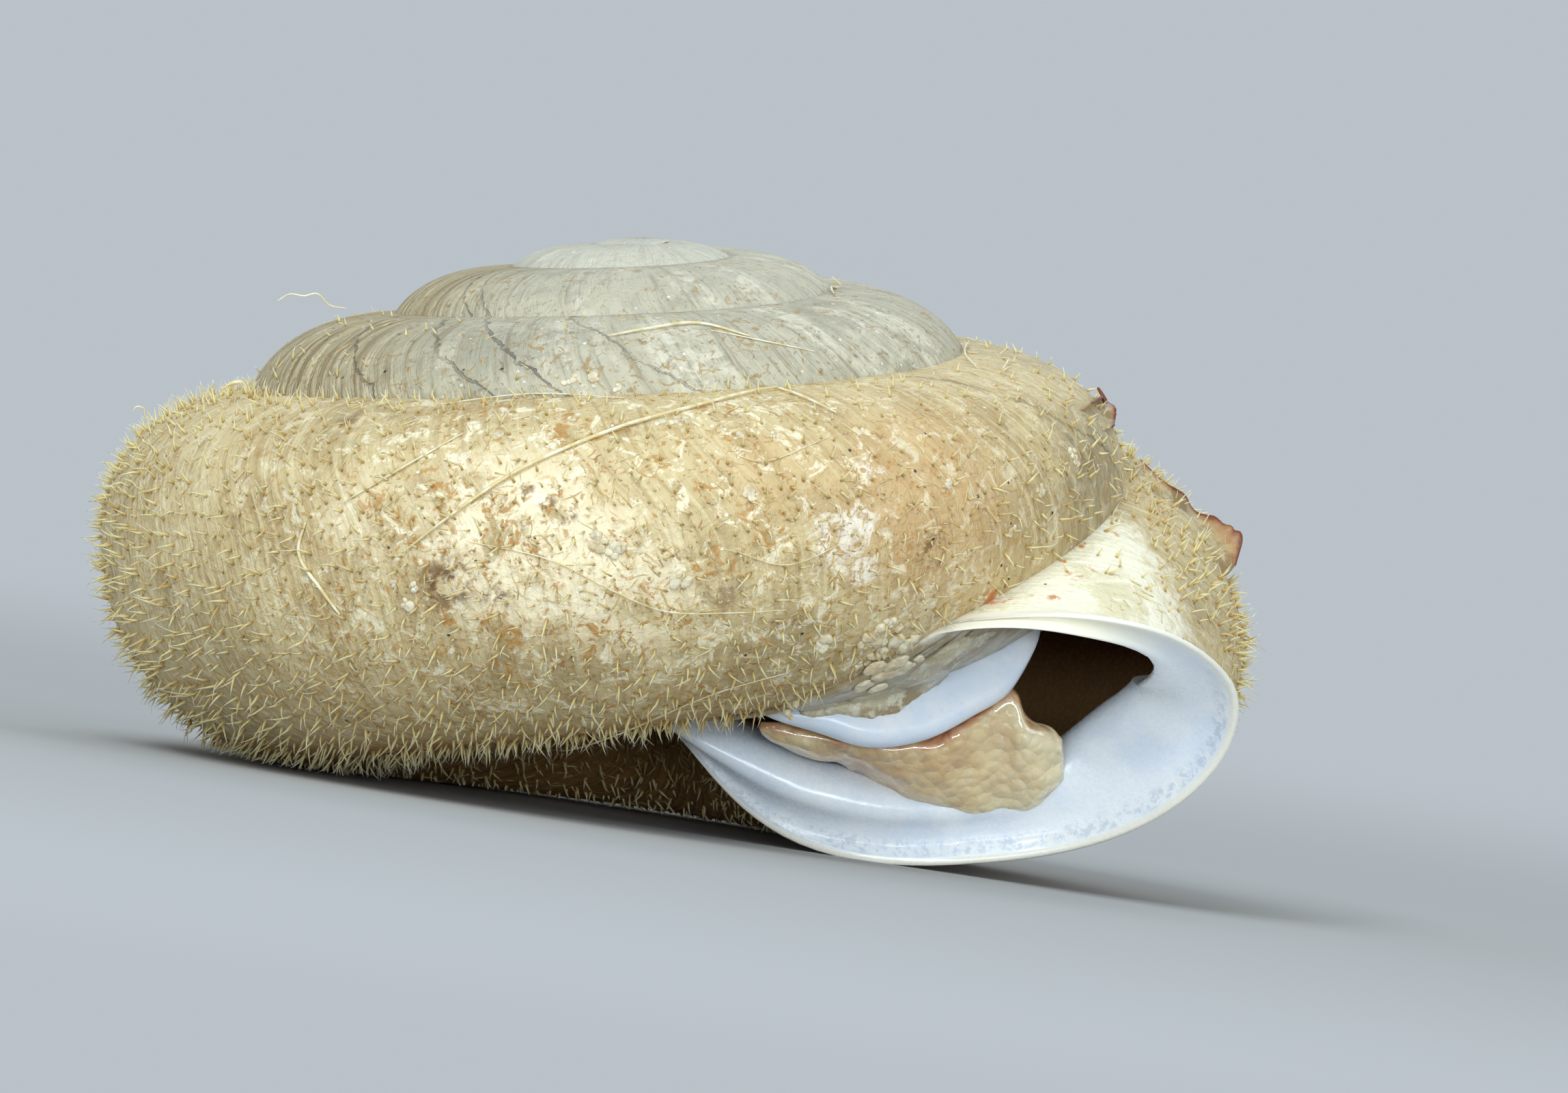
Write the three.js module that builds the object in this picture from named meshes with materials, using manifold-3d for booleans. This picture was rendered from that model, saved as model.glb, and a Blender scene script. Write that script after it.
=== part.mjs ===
// A land snail's shell: a low spire of five tightly wound whorls with a broad reflected lip, a long curved
// tooth on the inner wall of the mouth, and a scrap of dried tissue left between the tooth and the lip.
//
// Millimetres, +Z up. The shell is first laid out round its own coiling axis, with the top of the spire at
// z = 0 and the mouth towards -Y and +X, and is then turned to the way it rests on a table: on the foot of
// its lip and on the base of the last whorl.
//
// "Turns" count how far round the spiral a point is, from 0 at the tip of the spire. A point at SIDE_TURN
// is at the right side (+X), just before the mouth, and the shell winds clockwise as seen from above.
// "Girth" runs round one whorl's outline: 0 at the upper seam, 1 at the widest point, 2 at the lowest
// point, and 3 at the inner end, by the umbilicus.
import * as THREE from 'three';
import { LoftGeometry } from 'three/addons/geometries/LoftGeometry.js';
import { mergeVertices } from 'three/addons/utils/BufferGeometryUtils.js';
import Module from 'manifold-3d';

// Driving dimensions of the spiral
const SIDE_TURN = 4.9;
const SEAM_RADIUS = 4.92;
const SEAM_RADIUS_POWER = 1.68;
const SEAM_DROP = 2.18;
const SEAM_DROP_POWER = 2.75;
const SEAM_TUCK = 0.2;
const WHORL_OVERLAP = 1.03;
const LAST_WHORL_NARROWING = 0.6;
const SHOULDER_DROP = 1.77;
const BASE_DROP = 7.1;
const BASE_DROP_POWER = 2.2;
const BASE_RADIUS_SHARE = 0.58;
const UMBILICUS_RADIUS = 0.28;
const COLUMELLA_DEPTH = 3.6;

// Towards the mouth the seam dives, the base lifts and the inner end swings out
const DEFLECTION_START = 4.87;
const DEFLECTION_LENGTH = 0.17;
const DEFLECTION_DROP = 1.455;
const DEFLECTION_POWER = 1.4;
const BASE_LIFT = 1.17;
const MOUTH_SAG = 0.62;
const INNER_END_SWING = 1.5;

// Walls, lip and tooth
const WALL = 0.2;
const LIP_FLARE = 0.35;
const CALLUS = 0.06;
const TOOTH_THICKNESS = 0.34;
const TOOTH_ROOT = 0.45;

// How the finished shell lies on a table
const REST_ROLL_DEG = -8.7;
const REST_PITCH_DEG = 3.15;
const REST_SHIFT = new THREE.Vector3(-0.85, -0.476, 6.115);

// How fine the surfaces are
const FIRST_TURN = 0.22;
const HOLLOW_FIRST_TURN = 3;
const TURNS_PER_SOLID = 0.3;
const STEPS_PER_TURN = 30;
const GIRTH_STEPS = 15;
const PARTITION_STEPS = 8;

const { clamp, degToRad, lerp, smoothstep } = THREE.MathUtils;

const wasm = await Module();
wasm.setup();

// The lip's outline: how many turns round the spiral the edge of the mouth is, at each girth.
const lipLine = new THREE.CatmullRomCurve3(
  [[0, 5.039], [0.57, 5.004], [1, 4.962], [1.4, 4.953], [2, 4.968], [2.45, 5.03], [3, 5.13]]
    .map(([girth, turn]) => new THREE.Vector3(girth, turn, 0)),
);
const lipTurnSamples = lipLine.getPoints(60);

function lipTurn(girth) {
  const next = lipTurnSamples.findIndex((p) => p.x >= girth);
  if (next <= 0) return lipTurnSamples[next === 0 ? 0 : lipTurnSamples.length - 1].y;
  const [a, b] = [lipTurnSamples[next - 1], lipTurnSamples[next]];
  return lerp(a.y, b.y, (girth - a.x) / (b.x - a.x));
}

// How far the porcelain of the lip reaches in from the skin, at each girth.
const porcelainLine = [[0, 0.1], [0.5, 0.12], [0.75, 0.2], [0.95, 0.5], [1.2, 0.88], [1.45, 0.95],
  [1.7, 0.72], [2, 0.55], [2.4, 0.58], [2.65, 0.5], [2.85, 0.3], [3, 0.12]];

function porcelainAt(girth) {
  const next = Math.max(1, porcelainLine.findIndex(([at]) => at >= girth));
  const [[a, from], [b, to]] = [porcelainLine[next - 1], porcelainLine[next]];
  return lerp(from, to, (girth - a) / (b - a));
}

// The seam spiral's radius, and its level as it would be without the dive at the mouth.
function seamRadius(turn) {
  return SEAM_RADIUS * (turn / SIDE_TURN) ** SEAM_RADIUS_POWER;
}

function evenSeamLevel(turn) {
  return -SEAM_DROP * (turn / SIDE_TURN) ** SEAM_DROP_POWER;
}

// The whorl's outline at one turn: seam, widest, lowest and inner points as [radius, level], and how
// square the shoulder and the foot are (2 is an ellipse, less is flatter). The seam is tucked a little
// way into the whorl before it.
function outline(turn) {
  const s = turn / SIDE_TURN;
  const dive = Math.max(0, turn - DEFLECTION_START) / DEFLECTION_LENGTH;
  const tuck = SEAM_TUCK * s + 0.22 * smoothstep(turn, 4.9, 5.06);
  const seam = [
    seamRadius(turn) - tuck,
    evenSeamLevel(turn) - DEFLECTION_DROP * dive ** DEFLECTION_POWER,
  ];
  const narrowing = LAST_WHORL_NARROWING * Math.max(0, turn - (SIDE_TURN - 1)) ** 1.4;
  const wide = WHORL_OVERLAP * seamRadius(turn + 1) - narrowing;
  const sag = MOUTH_SAG * smoothstep(turn, 4.78, 5.02);
  const widest = [wide, evenSeamLevel(turn) - SHOULDER_DROP * s ** 0.9 - sag];
  const lift = BASE_LIFT * smoothstep(turn, 4.76, 4.975);
  const base = Math.min(lift - BASE_DROP * s ** BASE_DROP_POWER, widest[1] - 1.3 * s ** 0.9);
  const lowest = [BASE_RADIUS_SHARE * wide, base];
  const swing = INNER_END_SWING * smoothstep(turn, 4.86, 5.13);
  const rise = 0.22 * smoothstep(turn, 5, 5.13);
  const inner = [UMBILICUS_RADIUS * Math.min(1, s * 1.3) + swing, lerp(base, widest[1], 0.9) + rise];
  const shoulder = 2.25 - 0.7 * smoothstep(turn, 4.7, 4.92) + 0.55 * smoothstep(turn, 4.93, 5);
  const foot = 2 - 0.4 * smoothstep(turn, 4.9, 5.02);
  return { seam, widest, lowest, inner, shoulder, foot };
}

// A point on one whorl's outline, as [radius, level].
function outlinePoint(turn, girth) {
  const { seam, widest, lowest, inner, shoulder, foot } = outline(turn);
  const quarter = (Math.PI / 2) * (girth - Math.min(2, Math.floor(girth)));
  const [sin, cos] = [Math.sin(quarter), Math.max(0, Math.cos(quarter))];
  if (girth < 1) {
    const power = 2 / shoulder;
    return [lerp(seam[0], widest[0], sin ** power), lerp(widest[1], seam[1], cos ** power)];
  }
  if (girth < 2) return [lerp(lowest[0], widest[0], cos), lerp(widest[1], lowest[1], sin)];
  return [lerp(lowest[0], inner[0], sin ** (2 / foot)), lerp(inner[1], lowest[1], cos ** (2 / foot))];
}

// Growth lines slant: the upper seam runs ahead of the base, by more towards the mouth.
function slantedTurn(age, girth) {
  const slant = lerp(0.45, 1, smoothstep(age, 4.3, 4.9));
  return age + (lipTurn(girth) - 5) * slant;
}

function spiralPoint(turn, radius, level) {
  const angle = -2 * Math.PI * (turn - SIDE_TURN);
  return new THREE.Vector3(radius * Math.cos(angle), radius * Math.sin(angle), level);
}

// A point a distance off one whorl's outline, as [radius, level].
function offOutline(turn, girth, outwards) {
  const [radius, level] = outlinePoint(turn, girth);
  const a = outlinePoint(turn, Math.max(0.001, girth - 0.02));
  const b = outlinePoint(turn, Math.min(2.999, girth + 0.02));
  const length = Math.hypot(b[0] - a[0], b[1] - a[1]);
  return [radius - ((b[1] - a[1]) / length) * outwards, level + ((b[0] - a[0]) / length) * outwards];
}

// The turn a point of the skin is at: "forwards" is a distance along the growth of the shell.
function turnAt(age, girth, forwards) {
  const start = slantedTurn(age, girth);
  return start + forwards / (2 * Math.PI * Math.max(1.5, outlinePoint(start, girth)[0]));
}

function skinPoint(age, girth, outwards, forwards) {
  const turn = turnAt(age, girth, forwards);
  return spiralPoint(turn, ...offOutline(turn, girth, outwards));
}

// The way back from the inner end to the seam, inside the whorl before.
function wayBack(age, forwards) {
  const turns = [slantedTurn(age, 3), slantedTurn(age, 0)].map((turn) => turn + forwards / 20);
  const { inner } = outline(turns[0]);
  const { seam } = outline(turns[1]);
  const top = seam[1] - Math.min(0.35, 0.3 * seam[0]);
  return [
    spiralPoint(lerp(turns[0], turns[1], 0.15), inner[0], lerp(inner[1], top, 0.6)),
    spiralPoint(lerp(turns[0], turns[1], 0.4), inner[0], top),
    spiralPoint(lerp(turns[0], turns[1], 0.8), lerp(inner[0], seam[0], 0.6), top),
  ];
}

// One closed ring round the outside of the tube. The distance off the skin may change with the girth.
function outerRing(age, outwards, forwards = 0) {
  const points = [];
  for (let i = 0; i <= GIRTH_STEPS; i++) {
    const girth = (3 * i) / GIRTH_STEPS;
    points.push(skinPoint(age, girth, outwards(girth), forwards));
  }
  return [...points, ...wayBack(age, forwards)];
}

// How far a point lies outside the whorl before, and the girth there.
function offPartition(turn, radius, level) {
  let best = [Infinity, 0];
  for (let girth = 0.3; girth <= 3; girth += 0.03) {
    const [r, z] = outlinePoint(turn - 1, girth);
    const distance = Math.hypot(radius - r, level - z);
    const [outR, outZ] = offOutline(turn - 1, girth, 0.1);
    const side = Math.sign((radius - r) * (outR - r) + (level - z) * (outZ - z));
    if (distance < Math.abs(best[0])) best = [distance * side, girth];
  }
  return best;
}

// One closed ring round the hollow: along the inside of the wall from near the seam to the inner end, and
// back along the partition, which is the skin of the whorl before with a thin callus over it.
function hollowRing(age, inset, forwards = 0) {
  let first = 0;
  let meeting = [0, 1];
  for (let girth = 0.02; girth < 1.5 && meeting[0] < CALLUS; girth += 0.02) {
    const turn = turnAt(age, girth, forwards);
    meeting = offPartition(turn, ...offOutline(turn, girth, -inset(girth)));
    first = girth;
  }
  const points = [];
  for (let i = 0; i <= GIRTH_STEPS; i++) {
    const girth = lerp(first, 3, i / GIRTH_STEPS);
    points.push(skinPoint(age, girth, -inset(girth), forwards));
  }
  const turns = [turnAt(age, 3, forwards), turnAt(age, first, forwards)];
  const [endRadius] = offOutline(turns[0], 3, -inset(3));
  const before = outline(turns[0] - 1);
  const across = (before.lowest[0] - endRadius) / (before.lowest[0] - before.inner[0]);
  const last = 2 + Math.asin(clamp(across, 0.05, 0.98)) / (Math.PI / 2);
  for (let i = 0; i < PARTITION_STEPS; i++) {
    const share = i / PARTITION_STEPS;
    const turn = lerp(turns[0], turns[1], share);
    points.push(spiralPoint(turn, ...offOutline(turn - 1, lerp(last, meeting[1], share), CALLUS)));
  }
  return points;
}

// A small round ring ahead of the last one, which draws the end of a tube together.
function closingRing(last, ahead) {
  const centre = last.reduce((sum, p) => sum.add(p), new THREE.Vector3()).divideScalar(last.length);
  const normal = new THREE.Vector3();
  last.forEach((p, i) => {
    const next = last[(i + 1) % last.length];
    normal.add(p.clone().sub(centre).cross(next.clone().sub(centre)));
  });
  normal.normalize();
  centre.addScaledVector(normal, -ahead);
  const start = last[0].clone().sub(centre).projectOnPlane(normal).setLength(0.1);
  return last.map((_, i) => {
    const spoke = start.clone().applyAxisAngle(normal, (2 * Math.PI * i) / last.length);
    return spoke.add(centre);
  });
}

// A closed three.js geometry as a manifold-3d solid.
function solidOf(geometry) {
  const bare = new THREE.BufferGeometry();
  bare.setAttribute('position', geometry.toNonIndexed().getAttribute('position'));
  const merged = mergeVertices(bare, 1e-5);
  const kept = [];
  const index = merged.index.array;
  for (let i = 0; i < index.length; i += 3) {
    const [a, b, c] = [index[i], index[i + 1], index[i + 2]];
    if (a !== b && b !== c && c !== a) kept.push(a, b, c);
  }
  return new wasm.Manifold(new wasm.Mesh({
    numProp: 3,
    vertProperties: merged.attributes.position.array,
    triVerts: new Uint32Array(kept),
  }));
}

function loft(rings) {
  const facingOut = rings.map((points) => [...points].reverse());
  return solidOf(new LoftGeometry(facingOut, { capStart: true, capEnd: true }));
}

// Rings from one age to another.
function ringsBetween(from, to, ringAt) {
  const steps = Math.max(2, Math.ceil((to - from) * STEPS_PER_TURN));
  return Array.from({ length: steps + 1 }, (_, k) => ringAt(lerp(from, to, k / steps)));
}

// A run of turns as a chain of short stretches, each with where it starts and ends.
function stretches(from, to) {
  const count = Math.ceil((to - from) / TURNS_PER_SOLID);
  const edgeAt = (i) => lerp(from, to, i / count);
  return Array.from({ length: count }, (_, i) => [edgeAt(i), edgeAt(i + 1)]);
}

// The largest of the bodies a solid is made of, with anything sealed inside it filled.
function largest(solid) {
  return solid.decompose().reduce((best, body) => (body.volume() > best.volume() ? body : best));
}

function joined(solids) {
  return wasm.Manifold.union(solids);
}

// The move from the shell's own axis to the way it rests.
const rest = new THREE.Matrix4()
  .makeTranslation(REST_SHIFT)
  .multiply(new THREE.Matrix4().makeRotationX(degToRad(REST_PITCH_DEG)))
  .multiply(new THREE.Matrix4().makeRotationY(degToRad(REST_ROLL_DEG)));

function meshOf(solid, name, material) {
  const { vertProperties, triVerts } = solid.getMesh();
  const geometry = new THREE.BufferGeometry();
  geometry.setAttribute('position', new THREE.BufferAttribute(vertProperties, 3));
  geometry.setIndex(new THREE.BufferAttribute(triVerts, 1));
  geometry.applyMatrix4(rest);
  const mesh = new THREE.Mesh(geometry, material);
  mesh.name = name;
  return mesh;
}

// How far the lip turns outwards, along its length.
function flareAt(girth) {
  return LIP_FLARE * smoothstep(girth, 0.15, 1) * lerp(1, 0.4, smoothstep(girth, 2.2, 3));
}

const flares = [[-0.45, 0, 0], [-0.2, 0.35, 0], [-0.04, 0.85, 0], [0.03, 1, 0], [0.1, 0.8, 0],
  [0.14, 0.35, 0], [0.16, 0, -0.12]];
const lip = flares.map(([forwards, share, inset]) =>
  outerRing(5, (girth) => share * flareAt(girth) + inset, forwards));

// The outside, as if the shell were solid
const outside = stretches(FIRST_TURN, 4.97).map(([start, end], i, all) => {
  const rings = ringsBetween(start, end, (age) => outerRing(age, () => 0));
  if (i === all.length - 1) rings.push(...lip, closingRing(lip.at(-1), 0.03));
  return loft(rings);
});
const tip = new THREE.SphereGeometry(0.46, 16, 10).scale(1, 1, 0.35).translate(0, 0, -0.13);
const columella = new THREE.CylinderGeometry(0.34, 0.34, COLUMELLA_DEPTH, 16)
  .rotateX(Math.PI / 2)
  .translate(0, 0, -0.2 - COLUMELLA_DEPTH / 2);
const full = largest(joined([...outside, solidOf(tip), solidOf(columella)]));

// The hollow
function wallAt(age) {
  return WALL * lerp(0.4, 1, age / SIDE_TURN);
}

const hollows = stretches(HOLLOW_FIRST_TURN, 4.93).map(([start, end], i, all) => {
  const rings = ringsBetween(start, end, (age) => hollowRing(age, () => wallAt(age)));
  if (i === all.length - 1) {
    rings.push(hollowRing(5, (girth) => Math.max(WALL * 0.7, porcelainAt(girth) * 0.75), -0.85));
    rings.push(hollowRing(5, porcelainAt, -0.4));
    rings.push(hollowRing(5, (girth) => porcelainAt(girth) * 0.85, -0.08));
    rings.push(hollowRing(5, (girth) => porcelainAt(girth) * 0.5, 0.13));
    rings.push(hollowRing(5, () => 0.05, 0.25));
    rings.push(closingRing(rings.at(-1), 0.3));
  }
  return loft(rings);
});

// The tooth, a blade that hangs from the partition. These are points along its crest.
const crest = new THREE.CatmullRomCurve3([
  [1.25, -2.8, -4.82], [1.83, -2.72, -5.02], [2.36, -2.65, -5.18], [2.95, -2.5, -5.12],
  [3.48, -2.35, -4.885], [3.93, -2.15, -4.61], [4.06, -1.98, -4.29], [4.02, -1.74, -3.98],
].map((p) => new THREE.Vector3(...p)));
const toRoot = new THREE.Vector3(0, 0.34, 0.94);
const toothStart = new THREE.Vector3(1, 0.28, 0);
const toothEnd = new THREE.Vector3(0.3, 0.95, 0);

function toothRing(share) {
  const at = crest.getPointAt(share);
  const across = toothStart.clone().lerp(toothEnd, smoothstep(share, 0.75, 1));
  const side = toRoot.clone().cross(across).normalize();
  const fullness = 0.45 + 0.55 * smoothstep(share, 0, 0.3) + 0.25 * smoothstep(share, 0.6, 0.9);
  const thick = (TOOTH_THICKNESS / 2) * fullness;
  const edge = Array.from({ length: 7 }, (_, i) => (Math.PI * i) / 6);
  const round = edge.map((angle) => [Math.cos(angle) * thick, thick * (1 - Math.sin(angle))]);
  const section = [[thick, TOOTH_ROOT + 0.75], ...round, [-thick, TOOTH_ROOT + 0.75]];
  return section.map(([x, up]) => at.clone().addScaledVector(side, x).addScaledVector(toRoot, up));
}

const tooth = loft(Array.from({ length: 15 }, (_, i) => toothRing(i / 14)));

// The scrap of dried tissue: stations along it, each with its upper and lower edge and its thickness
const scrap = [
  [[1.86, -2.42, -5.13], [1.9, -1.95, -5.22], 0.07],
  [[2.14, -2.4, -5.15], [2.14, -1.6, -5.5], 0.13],
  [[2.63, -2.36, -5.2], [2.63, -1.5, -5.75], 0.16],
  [[3.13, -2.3, -5.1], [3.13, -1.5, -5.92], 0.15],
  [[3.5, -2.2, -4.92], [3.5, -1.45, -6], 0.17],
  [[3.87, -2.1, -4.72], [3.87, -1.45, -5.98], 0.14],
  [[4.12, -2.1, -5.02], [4.12, -1.45, -5.92], 0.16],
  [[4.36, -2, -5.2], [4.36, -1.45, -5.75], 0.08],
];

function scrapRing([top, bottom, thick]) {
  const [a, b] = [new THREE.Vector3(...top), new THREE.Vector3(...bottom)];
  const middle = a.clone().lerp(b, 0.5);
  const long = a.clone().sub(b).multiplyScalar(0.5);
  const side = long.clone().cross(new THREE.Vector3(1, 0, 0)).setLength(thick);
  return Array.from({ length: 12 }, (_, i) => {
    const angle = (2 * Math.PI * i) / 12;
    return middle.clone().addScaledVector(long, Math.cos(angle)).addScaledVector(side, Math.sin(angle));
  });
}

const periostracum = new THREE.MeshStandardMaterial({ color: 0xc9b283, roughness: 0.7, metalness: 0 });
const tissue = new THREE.MeshStandardMaterial({ color: 0xc79a62, roughness: 0.4, metalness: 0 });

const shell = largest(full.subtract(joined(hollows)).add(tooth).simplify(0.004));
const driedTissue = largest(loft(scrap.map(scrapRing)).subtract(shell).simplify(0.004));

const group = new THREE.Group();
group.add(meshOf(shell, 'shell', periostracum), meshOf(driedTissue, 'dried_tissue', tissue));

export default group;
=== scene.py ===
"""A hairy land snail's shell, lying mouth down on a pale floor.

Shapes are worked out in millimetres round the shell's own coiling axis, with the top of the spire at z = 0 and
the mouth towards -Y and +X. placed() turns them to the way the shell rests, in metres. "Turns" count round the
spiral from the tip of the spire, and "girth" runs round a whorl's outline: 0 at the upper seam, 1 at the widest
point, 2 at the lowest and 3 at the inner end. "Age" is the turn of a growth line, which is 5 at the lip.
"""

import math

import bmesh
import bpy
import numpy as np
from mathutils import Matrix, Vector, noise
from mathutils.bvhtree import BVHTree


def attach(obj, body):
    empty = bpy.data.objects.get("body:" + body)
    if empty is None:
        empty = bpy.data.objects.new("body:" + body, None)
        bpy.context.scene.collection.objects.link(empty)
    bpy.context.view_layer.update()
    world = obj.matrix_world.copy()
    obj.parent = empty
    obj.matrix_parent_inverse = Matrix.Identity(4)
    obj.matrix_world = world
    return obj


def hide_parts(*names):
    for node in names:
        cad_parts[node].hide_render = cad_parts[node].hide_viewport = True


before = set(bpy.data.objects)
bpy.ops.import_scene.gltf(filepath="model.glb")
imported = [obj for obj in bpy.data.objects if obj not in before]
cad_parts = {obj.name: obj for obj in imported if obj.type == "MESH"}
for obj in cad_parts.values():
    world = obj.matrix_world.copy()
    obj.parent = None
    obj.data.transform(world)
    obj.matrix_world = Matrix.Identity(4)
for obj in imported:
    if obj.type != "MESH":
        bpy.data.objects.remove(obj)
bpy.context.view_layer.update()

# The spiral
SIDE_TURN = 4.9
SEAM_RADIUS = 4.92
SEAM_RADIUS_POWER = 1.68
SEAM_DROP = 2.18
SEAM_DROP_POWER = 2.75
SEAM_TUCK = 0.2
WHORL_OVERLAP = 1.03
LAST_WHORL_NARROWING = 0.6
SHOULDER_DROP = 1.77
BASE_DROP = 7.1
BASE_DROP_POWER = 2.2
BASE_RADIUS_SHARE = 0.58
UMBILICUS_RADIUS = 0.28
DEFLECTION_START = 4.87
DEFLECTION_LENGTH = 0.17
DEFLECTION_DROP = 1.455
DEFLECTION_POWER = 1.4
BASE_LIFT = 1.17
MOUTH_SAG = 0.62
INNER_END_SWING = 1.5
WALL = 0.2
CALLUS = 0.06
NUCLEUS_OPENING = (0.9, 1.3)
GROWTH_PER_TURN = 34
LIP_FLARE = 0.35
LIP_LINE = [(0, 5.039), (0.57, 5.004), (1, 4.962), (1.4, 4.953), (2, 4.968), (2.45, 5.03), (3, 5.13)]

# How the shell lies, and how the camera sees it
REST_ROLL = math.radians(-8.7)
REST_PITCH = math.radians(3.15)
REST_SHIFT = Vector((-0.85, -0.476, 6.115))  # millimetres
CAMERA_RISE = math.radians(4.4)
PIXELS_PER_MM = 138.7
AXIS_PIXEL = (943.7, 347.8)
IMAGE_SIZE = (2296, 1601)
VIEW_SCALE = 1.148  # from the 2000-pixel-wide view that the places below are read in to the whole image
LENS = 800
SENSOR = 36

rest = (
    Matrix.Translation(REST_SHIFT)
    @ Matrix.Rotation(REST_PITCH, 4, "X")
    @ Matrix.Rotation(REST_ROLL, 4, "Y")
)
resting = Matrix.Scale(0.001, 4) @ rest
random = np.random.default_rng(7)


def ease(x, low, high):
    """0 below low and 1 above high, with a smooth rise between."""
    share = np.clip((np.asarray(x, float) - low) / (high - low), 0, 1)
    return share * share * (3 - 2 * share)


def between(a, b, share):
    return a + (b - a) * share


def unit(vectors):
    return vectors / np.linalg.norm(vectors, axis=-1, keepdims=True)


def curve_through(stations, values, at):
    """A smooth curve through values at rising stations."""
    stations, values = np.asarray(stations, float), np.asarray(values, float)
    slopes = np.gradient(values, stations)
    i = np.clip(np.searchsorted(stations, at) - 1, 0, len(stations) - 2)
    width = stations[i + 1] - stations[i]
    s = (at - stations[i]) / width
    return (
        values[i] * (1 + 2 * s) * (1 - s) ** 2
        + values[i + 1] * s * s * (3 - 2 * s)
        + width * (slopes[i] * s * (1 - s) ** 2 - slopes[i + 1] * s * s * (1 - s))
    )


def running_length(points):
    """The length along points up to each of them."""
    return np.concatenate([[0], np.cumsum(np.linalg.norm(np.diff(points, axis=0), axis=1))])


def path_through(points, count):
    """Points evenly along a smooth curve through the given points."""
    points = np.asarray(points, float)
    along = running_length(points)
    at = np.linspace(0, along[-1], count)
    return np.stack([curve_through(along, column, at) for column in points.T], axis=1)


def lip_turn(girth):
    stations, turns = zip(*LIP_LINE)
    return curve_through(stations, turns, girth)


def seam_radius(turn):
    return SEAM_RADIUS * (turn / SIDE_TURN) ** SEAM_RADIUS_POWER


def outline(turn):
    """Seam, widest, lowest and inner points as (radius, level), and the squareness of shoulder and foot."""
    turn = np.maximum(turn, 0.02)
    s = turn / SIDE_TURN
    level = -SEAM_DROP * s**SEAM_DROP_POWER
    dive = np.maximum(0, turn - DEFLECTION_START) / DEFLECTION_LENGTH
    tuck = SEAM_TUCK * s + 0.22 * ease(turn, 4.9, 5.06)
    nucleus = between(0.03, 1, ease(turn, *NUCLEUS_OPENING))
    seam = ((seam_radius(turn) - tuck) * nucleus, level - DEFLECTION_DROP * dive**DEFLECTION_POWER)
    narrowing = LAST_WHORL_NARROWING * np.maximum(0, turn - (SIDE_TURN - 1)) ** 1.4
    wide = WHORL_OVERLAP * seam_radius(turn + 1) - narrowing
    sag = MOUTH_SAG * ease(turn, 4.78, 5.02)
    widest = (wide, level - SHOULDER_DROP * s**0.9 - sag)
    lift = BASE_LIFT * ease(turn, 4.76, 4.975)
    base = np.minimum(lift - BASE_DROP * s**BASE_DROP_POWER, widest[1] - 1.3 * s**0.9)
    lowest = (BASE_RADIUS_SHARE * wide, base)
    swing = INNER_END_SWING * ease(turn, 4.86, 5.13)
    rise = 0.22 * ease(turn, 5, 5.13)
    inner = (UMBILICUS_RADIUS * np.minimum(1, s * 1.3) + swing, between(base, widest[1], 0.9) + rise)
    shoulder = 2.25 - 0.7 * ease(turn, 4.7, 4.92) + 0.55 * ease(turn, 4.93, 5)
    foot = 2 - 0.4 * ease(turn, 4.9, 5.02)
    return seam, widest, lowest, inner, shoulder, foot


def outline_point(turn, girth):
    """Radius and level of points of the outline."""
    seam, widest, lowest, inner, shoulder, foot = outline(turn)
    quarter = math.pi / 2 * (girth - np.minimum(2, np.floor(girth)))
    sin, cos = np.maximum(0, np.sin(quarter)), np.maximum(0, np.cos(quarter))
    upper = (
        between(seam[0], widest[0], sin ** (2 / shoulder)),
        between(widest[1], seam[1], cos ** (2 / shoulder)),
    )
    under = between(lowest[0], widest[0], cos), between(widest[1], lowest[1], sin)
    middle = (
        between(lowest[0], inner[0], sin ** (2 / foot)),
        between(inner[1], lowest[1], cos ** (2 / foot)),
    )
    return [np.where(girth < 1, a, np.where(girth < 2, b, c)) for a, b, c in zip(upper, under, middle)]


def off_outline(turn, girth, out):
    """Radius and level of points at a distance off the outline."""
    radius, level = outline_point(turn, girth)
    before = outline_point(turn, np.maximum(0.001, girth - 0.02))
    after = outline_point(turn, np.minimum(2.999, girth + 0.02))
    along = after[0] - before[0], after[1] - before[1]
    length = np.hypot(*along)
    return radius - along[1] / length * out, level + along[0] / length * out


def slanted(age, girth):
    """The turn a growth line has reached at each girth."""
    return age + (lip_turn(girth) - 5) * between(0.45, 1, ease(age, 4.3, 4.9))


def ahead(turn, girth, forward):
    """The turn that lies a distance further along the growth of the shell."""
    return turn + forward / (2 * math.pi * np.maximum(1.5, outline_point(turn, girth)[0]))


def round_axis(turn, radius, level):
    angle = -2 * math.pi * (np.asarray(turn) - SIDE_TURN)
    return np.stack([radius * np.cos(angle), radius * np.sin(angle), level + 0 * angle], axis=-1)


def skin(turn, girth, out=0.0):
    return round_axis(turn, *off_outline(turn, girth, out))


def placed(points):
    """Points round the shell's axis in millimetres, turned to the resting pose in metres."""
    points = np.asarray(points, float)
    turned = points @ np.array(resting.to_3x3()).T
    return turned + np.array(resting.translation)


def photo_ray(x, y):
    """Where the line of sight through a pixel of the view starts, and its direction, in the resting pose."""
    across = (x * VIEW_SCALE - AXIS_PIXEL[0]) / PIXELS_PER_MM
    up = (AXIS_PIXEL[1] - y * VIEW_SCALE) / PIXELS_PER_MM
    sin, cos = math.sin(CAMERA_RISE), math.cos(CAMERA_RISE)
    start = Vector((across, -60 * cos + up * sin, 60 * sin + up * cos))
    return resting @ start, (resting.to_3x3() @ Vector((0, cos, -sin))).normalized()


# Meshes


def as_mesh(name, bm):
    """A mesh of a bmesh, which is freed."""
    mesh = bpy.data.meshes.new(name)
    bm.to_mesh(mesh)
    bm.free()
    return mesh


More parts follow.
